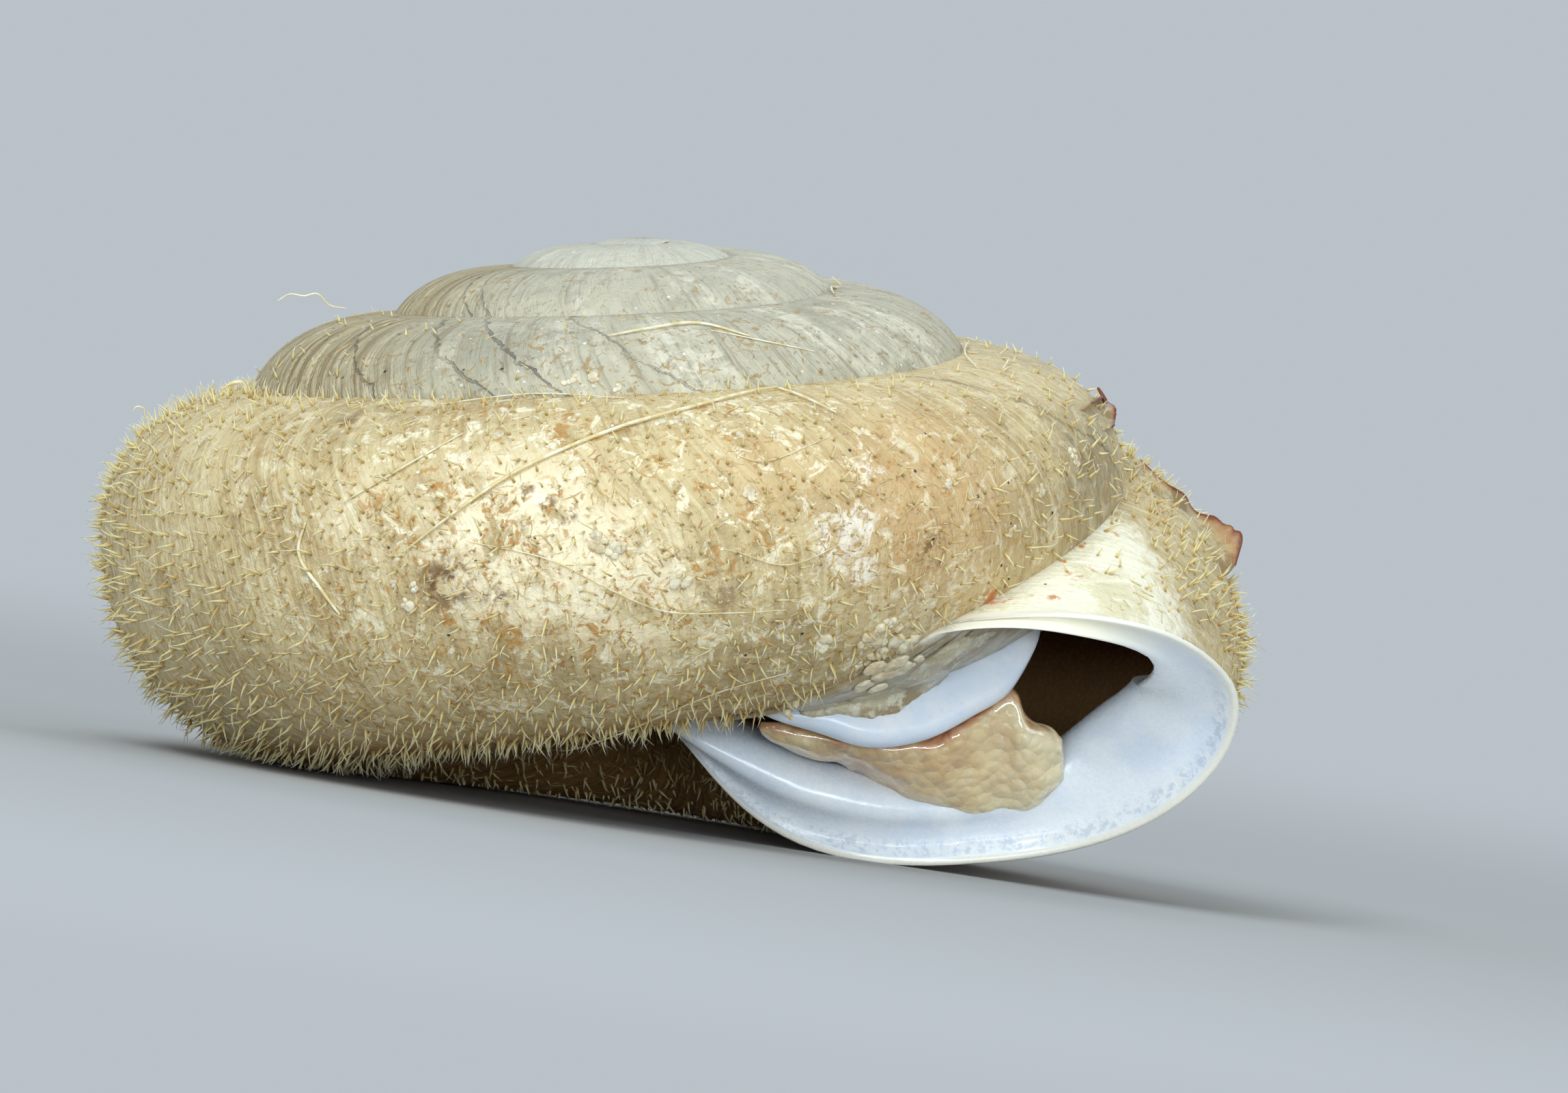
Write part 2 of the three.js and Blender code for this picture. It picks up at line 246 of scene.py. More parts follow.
def gathered(*meshes):
    """A bmesh of meshes, which are removed."""
    whole = bmesh.new()
    for mesh in meshes:
        whole.from_mesh(mesh)
        bpy.data.meshes.remove(mesh)
    return whole


def coordinates(mesh):
    flat = np.empty(len(mesh.vertices) * 3, np.float32)
    mesh.vertices.foreach_get("co", flat)
    return flat.reshape(-1, 3)


def move_points(mesh, points):
    mesh.vertices.foreach_set("co", points.astype(np.float32).ravel())


def new_object(name, data, *finishes):
    made = bpy.data.objects.new(name, data)
    bpy.context.scene.collection.objects.link(made)
    for finish in finishes:
        data.materials.append(finish)
    return made


def new_piece(name, shape, *finishes):
    """A smooth piece of the object, at the origin, riding on the shell's body."""
    mesh = shape if isinstance(shape, bpy.types.Mesh) else as_mesh(name, shape)
    piece = new_object(name, mesh, *finishes)
    mesh.shade_smooth()
    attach(piece, "root")
    return piece


def lofted(rows, marks=None, closed=True):
    """A bmesh grid moved to rows of points. Closed, its rows are rings and its end rings are points."""
    count, columns = rows.shape[:2]
    bm = bmesh.new()
    bmesh.ops.create_grid(bm, x_segments=columns - 1, y_segments=count - 1, size=1)
    mesh = as_mesh("grid", bm)
    grid = coordinates(mesh)
    column = np.rint((grid[:, 0] + 1) / 2 * (columns - 1)).astype(int)
    row = np.rint((grid[:, 1] + 1) / 2 * (count - 1)).astype(int)
    move_points(mesh, rows[row, column])
    for name, values in (marks or {}).items():
        values = np.broadcast_to(values, (count, columns))[row, column]
        mesh.attributes.new(name, "FLOAT", "POINT").data.foreach_set("value", values.astype(np.float32))
    bm = gathered(mesh)
    if closed:
        bm.verts.ensure_lookup_table()
        at = {(int(r), int(c)): bm.verts[i] for i, (r, c) in enumerate(zip(row, column))}
        bmesh.ops.weld_verts(bm, targetmap={at[r, columns - 1]: at[r, 0] for r in range(count)})
        for r in (0, count - 1):
            ring = [at[r, c] for c in range(columns - 1) if at[r, c].is_valid]
            middle = sum((v.co for v in ring), Vector()) / len(ring)
            bmesh.ops.pointmerge(bm, verts=ring, merge_co=middle)
    return bm


def thickened(rows, thickness, marks=None):
    """A sheet through rows of points, with a thickness in metres."""
    sheet = lofted(rows, marks, closed=False)
    sheet.normal_update()
    bmesh.ops.solidify(sheet, geom=sheet.faces[:], thickness=thickness)
    return sheet


def facing_out(bm):
    bmesh.ops.recalc_face_normals(bm, faces=bm.faces[:])
    return bm


# Shader maths


class Socket:
    """A value in a material; arithmetic on it adds the nodes."""

    def __init__(self, finish, socket):
        self.finish = finish
        self.socket = socket

    def maths(self, operation, *values):
        return self.finish.node("Math", {"operation": operation}, dict(enumerate(values)))

    def __add__(self, other):
        return self.maths("ADD", self, other)

    def __sub__(self, other):
        return self.maths("SUBTRACT", self, other)

    def __rsub__(self, other):
        return self.maths("SUBTRACT", other, self)

    def __mul__(self, other):
        return self.maths("MULTIPLY", self, other)

    __radd__, __rmul__ = __add__, __mul__

    def ease(self, low, high):
        """0 at low and 1 at high, smooth between."""
        sockets = {"Value": self, "From Min": low, "From Max": high}
        return self.finish.node("MapRange", {"interpolation_type": "SMOOTHSTEP"}, sockets)

    def clamped(self):
        return self.finish.node("Clamp", {}, {"Value": self})


class Finish:
    """A procedural material under construction, with its Object coordinates in millimetres as at."""

    def __init__(self, name):
        self.material = bpy.data.materials.new(name)
        self.material.use_nodes = True
        self.tree = self.material.node_tree
        self.tree.nodes.clear()
        at = self.node("TexCoord", output="Object")
        self.at = self.node("VectorMath", {"operation": "SCALE"}, {0: at, "Scale": 1000.0})

    def node(self, kind, settings=None, sockets=None, output=0):
        made = self.tree.nodes.new("ShaderNode" + kind)
        for key, value in (settings or {}).items():
            setattr(made, key, value)
        for key, value in (sockets or {}).items():
            if isinstance(value, Socket):
                self.tree.links.new(value.socket, made.inputs[key])
            else:
                made.inputs[key].default_value = value
        return Socket(self, made.outputs[output]) if made.outputs else None

    def mark(self, name):
        """A number kept on the mesh."""
        return self.node("Attribute", {"attribute_name": name}, output="Fac")

    def vector(self, x, y, z=0.0):
        return self.node("CombineXYZ", {}, {"X": x, "Y": y, "Z": z})

    def cloud(self, scale, detail=3.0, roughness=0.5, distortion=0.0, at=None):
        sockets = {"Vector": at or self.at, "Scale": scale, "Detail": detail, "Roughness": roughness}
        return self.node("TexNoise", {}, sockets | {"Distortion": distortion})

    def spots(self, scale):
        """Distance to the nearest of scattered points."""
        return self.node("TexVoronoi", {}, {"Vector": self.at, "Scale": scale})

    def mixed(self, base, over, share):
        """One colour laid over another by a share from 0 to 1."""
        settings = {"data_type": "RGBA", "clamp_factor": True}
        return self.node("Mix", settings, {0: share, 6: base, 7: over}, output=2)

    def layers(self, base, *overs):
        for over, share in overs:
            base = self.mixed(base, over, share)
        return base

    def bump(self, height, distance, strength):
        """A bump whose height of 1 stands the distance in millimetres."""
        return self.node("Bump", {}, {"Height": height, "Distance": distance * 0.001, "Strength": strength})

    def surface(self, colour, roughness, *, glow, **sockets):
        """The finished material; glow is its subsurface weight, radius and scale."""
        names = ("Base_Color", "Roughness", "Subsurface_Weight", "Subsurface_Radius", "Subsurface_Scale")
        sockets |= dict(zip(names, (colour, roughness, *glow)))
        shader = self.node("BsdfPrincipled", {}, {k.replace("_", " "): v for k, v in sockets.items()})
        self.node("OutputMaterial", {}, {"Surface": shader})
        return self.material


def tone(*percents):
    """A colour from its screen values in percent."""
    return (*(((percent / 100 + 0.055) / 1.055) ** 2.4 for percent in percents), 1.0)


# The growth lines that are cracked, and how dark each crack is
CRACKS = [(3.338, 1), (3.281, 0.8), (3.246, 1), (3.188, 0.6), (2.336, 0.8), (2.318, 0.6), (4.013, 0.6)]


def make_skin_finish(surface):
    """The outer skin: straw and cream on the last whorl, bleached grey above, amber below, painted shade on the
    right and lower left.
    """
    f = Finish("weathered shell skin")
    age, girth, grown = f.mark("age"), f.mark("girth"), f.mark("grown")
    wander = f.cloud(0.9)
    lines = f.cloud(1.0, 4.0, 0.62, at=f.vector(grown * 11.0 + wander * 2.5, girth * 1.1))
    bands = f.cloud(1.0, at=f.vector(grown * 1.6, girth * 0.8, 5.0))
    wide = f.cloud(0.5, 4.0, 0.55)
    mid = f.cloud(1.6, 5.0, 0.62, 0.5)
    small = f.cloud(4.6, 4.0, 0.62, 0.3)
    grit = f.cloud(12.0, 3.0, 0.65)
    dots = f.spots(3.4)
    crumbs = f.spots(5.2)
    fleck = f.cloud(5.5, 3.0, 0.6, 1.6)
    stray = f.cloud(10.0, 2.0, 0.5, 1.6)
    pale = f.cloud(3.8, 5.0, 0.68, 0.9)
    marbling = wide * 0.45 + mid * 0.35 + small * 0.2

    def patches(*spots):
        """0 to 1 over round patches, each by its pixel, reach in millimetres and share."""
        total = 0.0
        for x, y, reach, share in spots:
            place, _ = hit(surface, x, y)
            away = f.node("VectorMath", {"operation": "DISTANCE"}, {0: f.at, 1: place * 1000}, output="Value")
            total = total + away.ease(reach, reach * 0.25) * share
        return total.clamped()

    above = 1 - age.ease(3.62, 4.0)
    tip = 1 - age.ease(1.1, 2.5)
    below = girth.ease(1.62, 2.0)
    cream = patches((660, 690, 1.5, 1), (800, 750, 1.1, 0.9), (470, 660, 0.8, 0.5))
    peach = patches((1190, 640, 1.7, 1), (980, 600, 0.9, 0.5))
    olive = patches((470, 540, 0.8, 1), (690, 900, 1.2, 0.8), (980, 830, 0.9, 0.6))
    dirt = patches(
        (575, 745, 0.42, 1), (1190, 705, 0.3, 0.9), (800, 545, 0.35, 0.4), (1380, 580, 0.35, 0.7),
        (455, 540, 0.3, 0.6), (922, 748, 0.32, 0.6), (676, 624, 0.13, 1), (702, 641, 0.13, 1),
        (728, 657, 0.14, 1), (640, 765, 0.22, 1),
    )
    rust = patches((1260, 760, 0.17, 1), (1268, 789, 0.15, 1), (1368, 735, 0.14, 1), (1341, 762, 0.1, 1))
    web = patches((1062, 690, 0.45, 1), (1105, 655, 0.4, 1), (1100, 725, 0.25, 1), (1112, 600, 0.2, 1))
    # Painted shade: patches that darken the right shoulder, the right side below it and the lower left of the
    # last whorl
    painted_shade = patches((1400, 600, 1.3, 1), (1530, 760, 0.9, 0.5), (290, 870, 1.6, 0.5))
    worn = 0.4 + patches((780, 690, 5.6, 0.6))
    late_ribs = age.ease(3.22, 3.34) * (1 - age.ease(3.38, 3.58))
    ribbed = late_ribs + age.ease(2.24, 2.36) * (1 - age.ease(2.4, 2.56))

    straw = f.layers(
        tone(81, 73, 55),
        (tone(69, 60, 43), marbling.ease(0.46, 0.6) * 0.85),
        (tone(88, 82, 65), lines.ease(0.5, 0.66) * 0.65),
        (tone(66, 56, 38), lines.ease(0.46, 0.36) * 0.5),
        (tone(82, 67, 47), peach * 0.6),
        (tone(60, 53, 37), olive * marbling.ease(0.4, 0.56) * 0.8),
        # Painted shade over the straw, mottled by the marbling
        (tone(53, 47, 35), painted_shade * (0.45 + marbling.ease(0.42, 0.58) * 0.4)),
        (tone(95, 89, 75), cream * mid.ease(0.62, 0.48)),
        (tone(96, 92, 80), pale.ease(0.53, 0.61) * worn * 0.8),
        (tone(95, 91, 84), web * pale.ease(0.46, 0.54) * 0.8),
        (tone(72, 53, 27), fleck.ease(0.55, 0.64) * worn * (0.35 + mid.ease(0.4, 0.56) * 0.55)),
        (tone(62, 40, 18), stray.ease(0.62, 0.7) * worn * mid.ease(0.42, 0.56) * 0.8),
        (tone(55, 33, 14), grit.ease(0.6, 0.7) * small.ease(0.48, 0.6) * 0.6),
    )
    bleached = f.layers(
        tone(74, 71, 62),
        (tone(63, 61, 53), marbling.ease(0.46, 0.58) * 0.85),
        (tone(56, 52, 43), lines.ease(0.52, 0.68) * 0.7),
        (tone(86, 83, 74), bands.ease(0.48, 0.66) * pale.ease(0.42, 0.58) * 0.8),
        (tone(72, 64, 46), ribbed * 0.6),
        (tone(50, 42, 27), ribbed * lines.ease(0.5, 0.62) * 0.7),
        (tone(88, 82, 66), ribbed * lines.ease(0.46, 0.36) * 0.7),
        (tone(64, 52, 33), fleck.ease(0.57, 0.66) * 0.75),
        (tone(50, 42, 32), stray.ease(0.62, 0.7) * 0.6),
        (tone(80, 79, 73), tip * 0.6),
    )
    amber = f.layers(
        tone(74, 55, 30),
        (tone(56, 38, 18), lines.ease(0.42, 0.66)),
        (tone(70, 56, 34), mid.ease(0.5, 0.7) * 0.6),
        (tone(72, 62, 42), dots.ease(0.12, 0.06) * 0.5),
    )
    chalky = (age - 4.93) * 8.0 + 0.34 - girth + (small - 0.5) * 0.5
    roof = age.ease(4.895, 4.925) * chalky.ease(-0.1, 0.1)
    chalk = f.layers(
        tone(95, 92, 82),
        (tone(86, 82, 68), mid.ease(0.5, 0.66)),
        (tone(78, 50, 24), small.ease(0.6, 0.7) * mid.ease(0.46, 0.58)),
    )
    crack = 0.0
    for line, dark in CRACKS:
        off = age + girth * 0.07 + (mid - 0.5) * 0.026 + (small - 0.5) * 0.008 - line
        crack = crack + (off * off).ease(0.0000019, 0.0000002) * (dark * (0.35 + mid.ease(0.4, 0.56) * 0.65))
    crack = (crack * (1 - below)).clamped()
    colour = f.layers(
        straw,
        (bleached, above),
        (amber, below),
        (chalk, roof),
        (tone(42, 28, 15), dirt * (small * 0.6 + grit * 0.4).ease(0.44, 0.56) * 0.9),
        (tone(76, 45, 18), rust * (small * 0.5 + grit * 0.5).ease(0.42, 0.54) * 0.85),
        (tone(40, 36, 31), crack * 0.7),
        (tone(96, 95, 90), crumbs.ease(0.14, 0.07) * small.ease(0.5, 0.58) * (1 - below) * 0.8),
        (tone(12, 10, 10), dots.ease(0.085, 0.045) * wide.ease(0.47, 0.53) * 0.9),
    )
    ribs = lines * (0.7 + ribbed * 1.6 + above * 0.4 + below * 0.3)
    height = ribs + grit * 0.3 + small * 0.9 + mid * 0.8 - crack * 1.2
    return f.surface(
        colour,
        0.6 + grit * 0.25 - below * 0.18 - peach * 0.12,
        Normal=f.bump(height, 0.06, 0.85),
        Specular_IOR_Level=0.4,
        glow=(0.12, (0.6, 0.38, 0.18), 0.0004),
    )


def make_porcelain_finish(name):
    f = Finish(name)
    cloudy = f.cloud(1.4)
    fine = f.cloud(15.0, 3.0, 0.6)
    colour = f.layers(
        tone(86, 90, 96),
        (tone(94, 95, 97), cloudy.ease(0.42, 0.62) * 0.8),
        (tone(80, 84, 92), fine.ease(0.55, 0.75) * 0.35),
    )
    return f.surface(
        colour,
        0.2 + fine * 0.22,
        Normal=f.bump(cloudy * 2 + fine * 0.16, 0.03, 0.5),
        Specular_IOR_Level=0.55,
        glow=(0.3, (0.5, 0.55, 0.65), 0.0005),
        Coat_Weight=0.25,
        Coat_Roughness=0.1,
    )


def make_lip_finish():
    """The white lip: a cream rim, a mottled flange, a glossy ridge, amber further in; grey film on the wall."""
    f = Finish("white lip")
    across, girth, film = f.mark("across"), f.mark("girth"), f.mark("film")
    cloudy = f.cloud(1.4)
    mid = f.cloud(3.6, 4.0, 0.6, 0.3)
    mottle = f.cloud(11.0, 4.0, 0.72)
    fine = f.cloud(22.0, 3.0, 0.6)
    lower = girth.ease(0.8, 1.15)
    flange = across.ease(0.02, 0.07) * (1 - across.ease(0.15, 0.27)) * lower
    rim = 1 - across.ease(0.0, 0.05)
    roof = (1 - girth.ease(0.5, 0.9)) * (1 - film)
    deep = across.ease(1.25, 2.2)
    wall = film * across.ease(0.1, 0.3)
    colour = f.layers(
        tone(88, 91, 95),
        (tone(95, 96, 97), cloudy.ease(0.42, 0.62) * 0.7),
        (tone(93, 90, 80), roof * 0.9),
        (tone(74, 77, 82), flange * mottle.ease(0.47, 0.6) * 0.6),
        (tone(95, 93, 88), flange * mottle.ease(0.46, 0.36) * 0.6),
        (tone(93, 91, 84), rim * 0.9),
        (tone(74, 57, 37), deep),
        (tone(62, 55, 41), wall),
        (tone(74, 70, 60), wall * mid.ease(0.46, 0.62) * 0.9),
        (tone(48, 38, 24), wall * (mottle * 0.5 + cloudy * 0.5).ease(0.52, 0.64) * 0.8),
    )
    return f.surface(
        colour,
        0.17 + flange * 0.25 + fine * 0.2 + roof * 0.3 + wall * 0.12,
        Normal=f.bump(cloudy * 1.6 + flange * mottle * 0.8 + wall * mid * 2.0 + fine * 0.12, 0.03, 0.7),
        Specular_IOR_Level=0.55,
        glow=(0.25, (0.5, 0.55, 0.65), 0.0005),
        Coat_Weight=0.25,
        Coat_Roughness=0.1,
    )


def make_tissue_finish():
    """Dried tissue: caramel and wet, brown near its thin end, creamy at the other, rosy under the tooth."""
    f = Finish("dried tissue")
    lumps = f.cloud(1.5, 3.0, 0.55)
    grain = f.cloud(7.0, 4.0, 0.6)
    beads = f.spots(7.0)
    top, along = f.mark("top"), f.mark("along")
    brown = along.ease(0.12, 0.24) * (1 - along.ease(0.34, 0.55))
    colour = f.layers(
        tone(93, 82, 62),
        (tone(86, 71, 50), lumps.ease(0.44, 0.6) * 0.8),
        (tone(96, 90, 74), along.ease(0.66, 0.9) * 0.6),
        (tone(72, 48, 28), brown * (0.4 + lumps.ease(0.4, 0.6) * 0.5)),
        (tone(97, 92, 80), grain.ease(0.52, 0.66) * 0.35),
        (tone(80, 52, 36), top.ease(0.9, 1.0) * (0.25 + lumps.ease(0.4, 0.56) * 0.5)),
    )
    return f.surface(
        colour,
        0.1 + grain * 0.24,
        Normal=f.bump(lumps * 1.6 + grain * 0.6 - beads * grain * 2.0, 0.06, 1.0),
        glow=(0.5, (0.8, 0.5, 0.3), 0.0006),
        Coat_Weight=1.0,
        Coat_Roughness=0.06,
        Coat_IOR=1.9,
    )


def make_hair_finish(name, root, middle, tip):
    """Hairs: glassy, from the root's colour to the tip's, duller in patches."""
    f = Finish(name)
    height = f.mark("height")
    patch = f.cloud(1.5, 2.0)
    colour = f.layers(
        middle,
        (root, patch.ease(0.48, 0.66) * 0.6),
        (root, (1 - height.ease(0.0, 0.45)) * 0.7),
        (tip, height.ease(0.55, 1.0) * 0.7),
    )
    return f.surface(
        colour,
        0.32 + patch * 0.1,
        glow=(0.6, (0.9, 0.75, 0.45), 0.0001),
    )


def make_fibre_finish():
    """Loose plant fibres and threads: pale straw to white, silky."""
    f = Finish("loose fibre")
    streak = f.cloud(6.0)
    colour = f.layers(tone(84, 76, 55), (tone(92, 88, 76), streak.ease(0.42, 0.6)))
    return f.surface(
        colour,
        0.35 + streak * 0.15,
        Normal=f.bump(streak, 0.01, 0.5),
        glow=(0.3, (0.8, 0.7, 0.5), 0.0001),
    )


def make_crust_finish():
    """Crumbs of lime crust: chalky cream with tan stains."""
    f = Finish("lime crust")
    stain = f.cloud(3.2, 4.0, 0.6)
    grain = f.cloud(16.0, 3.0, 0.6)
    colour = f.layers(
        tone(90, 85, 72),
        (tone(80, 70, 52), stain.ease(0.48, 0.62) * 0.8),
        (tone(96, 94, 88), grain.ease(0.55, 0.7) * 0.6),
    )
    return f.surface(
        colour,
        0.5 + grain * 0.3,
        Normal=f.bump(stain + grain * 0.6, 0.04, 0.8),
        glow=(0.2, (0.6, 0.5, 0.35), 0.0003),
    )


def make_film_finish():
    """Thin crust over the wall above the tooth: grey tan, cloudy and waxy."""
    f = Finish("waxy crust")
    stain = f.cloud(2.6, 4.0, 0.6)
    grain = f.cloud(9.0, 4.0, 0.65)
    colour = f.layers(
        tone(76, 71, 59),
        (tone(60, 51, 36), stain.ease(0.48, 0.6) * 0.85),
        (tone(88, 86, 78), grain.ease(0.5, 0.62) * 0.7),
    )
    return f.surface(
        colour,
        0.22 + grain * 0.3,
        Normal=f.bump(stain * 1.3 + grain, 0.05, 0.8),
        glow=(0.3, (0.6, 0.5, 0.35), 0.0003),
        Coat_Weight=0.3,
        Coat_Roughness=0.15,
    )


def make_flake_finish():
    """Peeled outer skin: straw and translucent at its root, rust red along its torn edge."""
    f = Finish("peeled skin")
    edge = f.mark("edge")
    stain = f.cloud(3.4, 4.0, 0.6)
    grain = f.cloud(12.0, 3.0, 0.6)
    colour = f.layers(
        tone(70, 62, 45),
        (tone(80, 74, 58), grain.ease(0.46, 0.6) * 0.8),
        (tone(58, 45, 27), stain.ease(0.44, 0.58) * 0.8),
        (tone(60, 39, 20), (edge * 1.1 + grain * 0.5).ease(0.85, 1.2) * 0.7),
        (tone(42, 21, 10), (edge * 1.1 + stain * 0.5).ease(1.12, 1.3)),
    )
    return f.surface(
        colour,
        0.35 + grain * 0.3,
        Normal=f.bump(stain + grain * 0.5, 0.03, 0.8),
        glow=(0.3, (0.8, 0.5, 0.3), 0.0002),
    )


# The shell


# Points of a ring on the skin and on its way back, and the rings' own ages
ARC = 66
BACK = 14
TIP_AGES = np.linspace(0.02, 0.22, 12)
OUTER_AGES = 4.984 * np.sqrt(np.linspace(0.0022, 1, 750))
INNER_AGES = np.linspace(4.87, 3.9, 100)


def off_partition(turn, radius, level):
    """How far points lie outside the whorl before, and the girth there."""
    girths = np.arange(0.3, 3, 0.03)
    before = np.asarray(turn)[..., None] - 1
    r, z = outline_point(before, girths)
    out_r, out_z = off_outline(before, girths, 0.1)
    apart_r, apart_z = np.asarray(radius)[..., None] - r, np.asarray(level)[..., None] - z
    apart = np.hypot(apart_r, apart_z)
    side = np.sign(apart_r * (out_r - r) + apart_z * (out_z - z))
    nearest = np.argmin(apart, axis=-1)
    pick = np.take_along_axis(apart * side, nearest[..., None], -1)[..., 0]
    return pick, girths[nearest]


def loop(turn_of, out_of, opened):
    """One closed ring: the skin, and the way back inside the whorl before (0) or just over it (1)."""
    candidates = np.arange(0.02, 1.5, 0.02)
    turns = turn_of(candidates)
    off, on = off_partition(turns, *off_outline(turns, candidates, out_of(candidates)))
    clear = np.nonzero(off >= CALLUS)[0]
    meet = clear[0] if len(clear) else len(candidates) - 1
    first = candidates[meet] * opened
    girth = np.linspace(first, 3, ARC)
    turn, out = turn_of(girth), out_of(girth)
    arc = skin(turn, girth, out)
    share = np.linspace(0, 1, BACK + 1)[1:]
    back_turn = between(turn[-1], turn[0], share)
    seam, _, _, inner, _, _ = outline(np.array([turn[0], turn[-1]]))
    top = seam[1][0] - min(0.35, 0.3 * seam[0][0])
    level = between(between(inner[1][1], top, ease(share, 0, 0.55)), seam[1][0], ease(share, 0.85, 1))
    buried = round_axis(back_turn, between(inner[0][1], seam[0][0], ease(share, 0.4, 1)), level)
    if opened == 0:
        back = buried
    else:
        end_radius = off_outline(turn[-1], 3.0, out[-1])[0]
        _, _, lowest, umbilicus, _, _ = outline(turn[-1] - 1)
        reach = np.clip((lowest[0] - end_radius) / (lowest[0] - umbilicus[0]), 0.05, 0.98)
        last = 2 + math.asin(reach) / (math.pi / 2)
        over = skin(back_turn - 1, between(last, on[meet], share), CALLUS)
        back = between(buried, over, opened)
    back[-1] = arc[0]
    return np.concatenate([arc, back]), np.concatenate([girth, between(3, first, share)])


def flare(girth):
    return LIP_FLARE * ease(girth, 0.15, 1) * between(1, 0.4, ease(girth, 2.2, 3))


# How far the porcelain reaches in from the skin, at each girth
PORCELAIN = [
    (0, 0.1), (0.5, 0.12), (0.72, 0.17), (0.8, 0.26), (0.86, 0.46), (0.92, 0.72), (1, 0.88), (1.1, 0.96),
    (1.25, 0.99), (1.4, 1.01), (1.52, 1.01), (1.62, 0.96), (1.72, 0.86), (1.86, 0.7), (2, 0.59), (2.4, 0.58),
    (2.65, 0.5), (2.85, 0.3), (3, 0.12),
]


def porcelain(girth):
    return curve_through(*zip(*PORCELAIN), girth)


# Across the lip, from the skin outside to the wall inside: forward, share of the flare, share of the porcelain,
# and forward again where the porcelain is broad
LIP_PROFILE = [
    (-0.45, 0, 0, -0.45), (-0.3, 0.1, 0, -0.3), (-0.16, 0.4, 0, -0.16), (-0.05, 0.78, 0, -0.05),
    (0.02, 0.97, 0, 0.02), (0.06, 1.0, 0, 0.06), (0.095, 0.96, 0, 0.095), (0.1, 0.8, 0, 0.1),
    (0.07, 0.58, 0, 0.075), (0.042, 0.36, 0, 0.06), (0.045, 0.15, 0.03, 0.06), (0.09, 0, 0.13, 0.07),
    (0.165, 0, 0.27, 0.09), (0.205, 0, 0.42, 0.105), (0.195, 0, 0.57, 0.115), (0.125, 0, 0.74, 0.1),
    (0.0, 0, 0.88, 0.04), (-0.15, 0, 0.97, -0.1), (-0.33, 0, 1.0, -0.3), (-0.55, 0, 0.96, -0.55),
    (-0.85, 0, 0.75, -0.85),
]
RIM_STATION = 7


def build_shell():
    profile = path_through(LIP_PROFILE, 64)
    weights = (1, LIP_FLARE, 0.6, 0)
    rim_at = running_length(np.array(LIP_PROFILE) * weights)[RIM_STATION]
    lip_along = running_length(profile * weights)
    rows, ages, girths, across = [], [], [], []

    def add(turn_of, out_of, opened, age, cross):
        ring, girth = loop(turn_of, out_of, opened)
        rows.append(ring)
        girths.append(girth)
        ages.append(age)
        across.append(cross)

    for age in np.concatenate([TIP_AGES, OUTER_AGES]):
        add(lambda g: slanted(age, g), lambda g: 0 * g, 0, age, (age - 5) * GROWTH_PER_TURN)
    for (forward, share, inward, broad), along in zip(profile[1:], lip_along[1:]):

        def turn_of(g):
            reach = between(forward, broad, ease(g, 0.85, 1.2) * (1 - ease(g, 1.6, 1.95)))
            return ahead(slanted(5.0, g), g, reach)

        opened = float(ease(inward, 0.2, 0.75)) if along > rim_at else 0.0
        age = 5.0 + forward / GROWTH_PER_TURN
        add(turn_of, lambda g: share * flare(g) - inward * porcelain(g), opened, age, along - rim_at)
    for share in np.linspace(0, 1, 26)[1:]:
        add(
            lambda g: between(ahead(slanted(5.0, g), g, -0.85), slanted(INNER_AGES[0], g), share),
            lambda g: -between(0.75 * porcelain(g), WALL, ease(share, -0.3, 1)),
            1, between(4.98, INNER_AGES[0], share), across[-1] + 0.05,
        )
    for age in INNER_AGES[1:]:
        add(lambda g: slanted(age, g), lambda g: -WALL + 0 * g, 1, age, across[-1] + 0.3)

    rows, ages, girths = np.array(rows), np.array(ages), np.array(girths)
    across = np.array(across)[:, None]
    radii = outline(ages)[1][0]
    grown = np.concatenate([[0], np.cumsum(np.diff(ages) * 2 * math.pi * (radii[1:] + radii[:-1]) / 2)])
    inner_side = (np.arange(girths.shape[1]) >= ARC)[None, :] * 1.0
    marks = {"age": ages[:, None], "girth": girths, "across": across}
    marks |= {"grown": grown[:, None], "film": inner_side}
    bm = facing_out(lofted(placed(rows), marks))
    mark = bm.verts.layers.float["across"]
    for face in bm.faces:
        face.material_index = int(min(v[mark] for v in face.verts) > -0.32)
    shell = new_piece("shell_surface", bm)
    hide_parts("shell")
    return shell


def hit(surface, x, y, lift=0.0):
    """The place on the shell seen at a pixel of the view, lifted off it in millimetres, and its normal."""
    start, along = photo_ray(x, y)
    place, normal, _, _ = surface.ray_cast(start, along)
    if place is None:
        return None, None
    if normal.dot(along) > 0:
        normal = -normal
    return place + normal * (lift * 0.001), normal


def dress_shell(shell, surface):
    shell.data.materials.append(make_skin_finish(surface))
    shell.data.materials.append(make_lip_finish())


# The tooth and the dried tissue


TOOTH_CREST = [
    (1.15, -2.82, -4.76), (1.25, -2.8, -4.82), (1.83, -2.72, -5.02), (2.36, -2.65, -5.18), (2.95, -2.5, -5.12),
    (3.45, -2.35, -4.885), (3.87, -2.15, -4.61), (3.99, -1.98, -4.29), (3.94, -1.74, -3.98),
]
TOOTH_HALF_THICKNESS = 0.17
TOOTH_ROOT = (0, 0.34, 0.94)


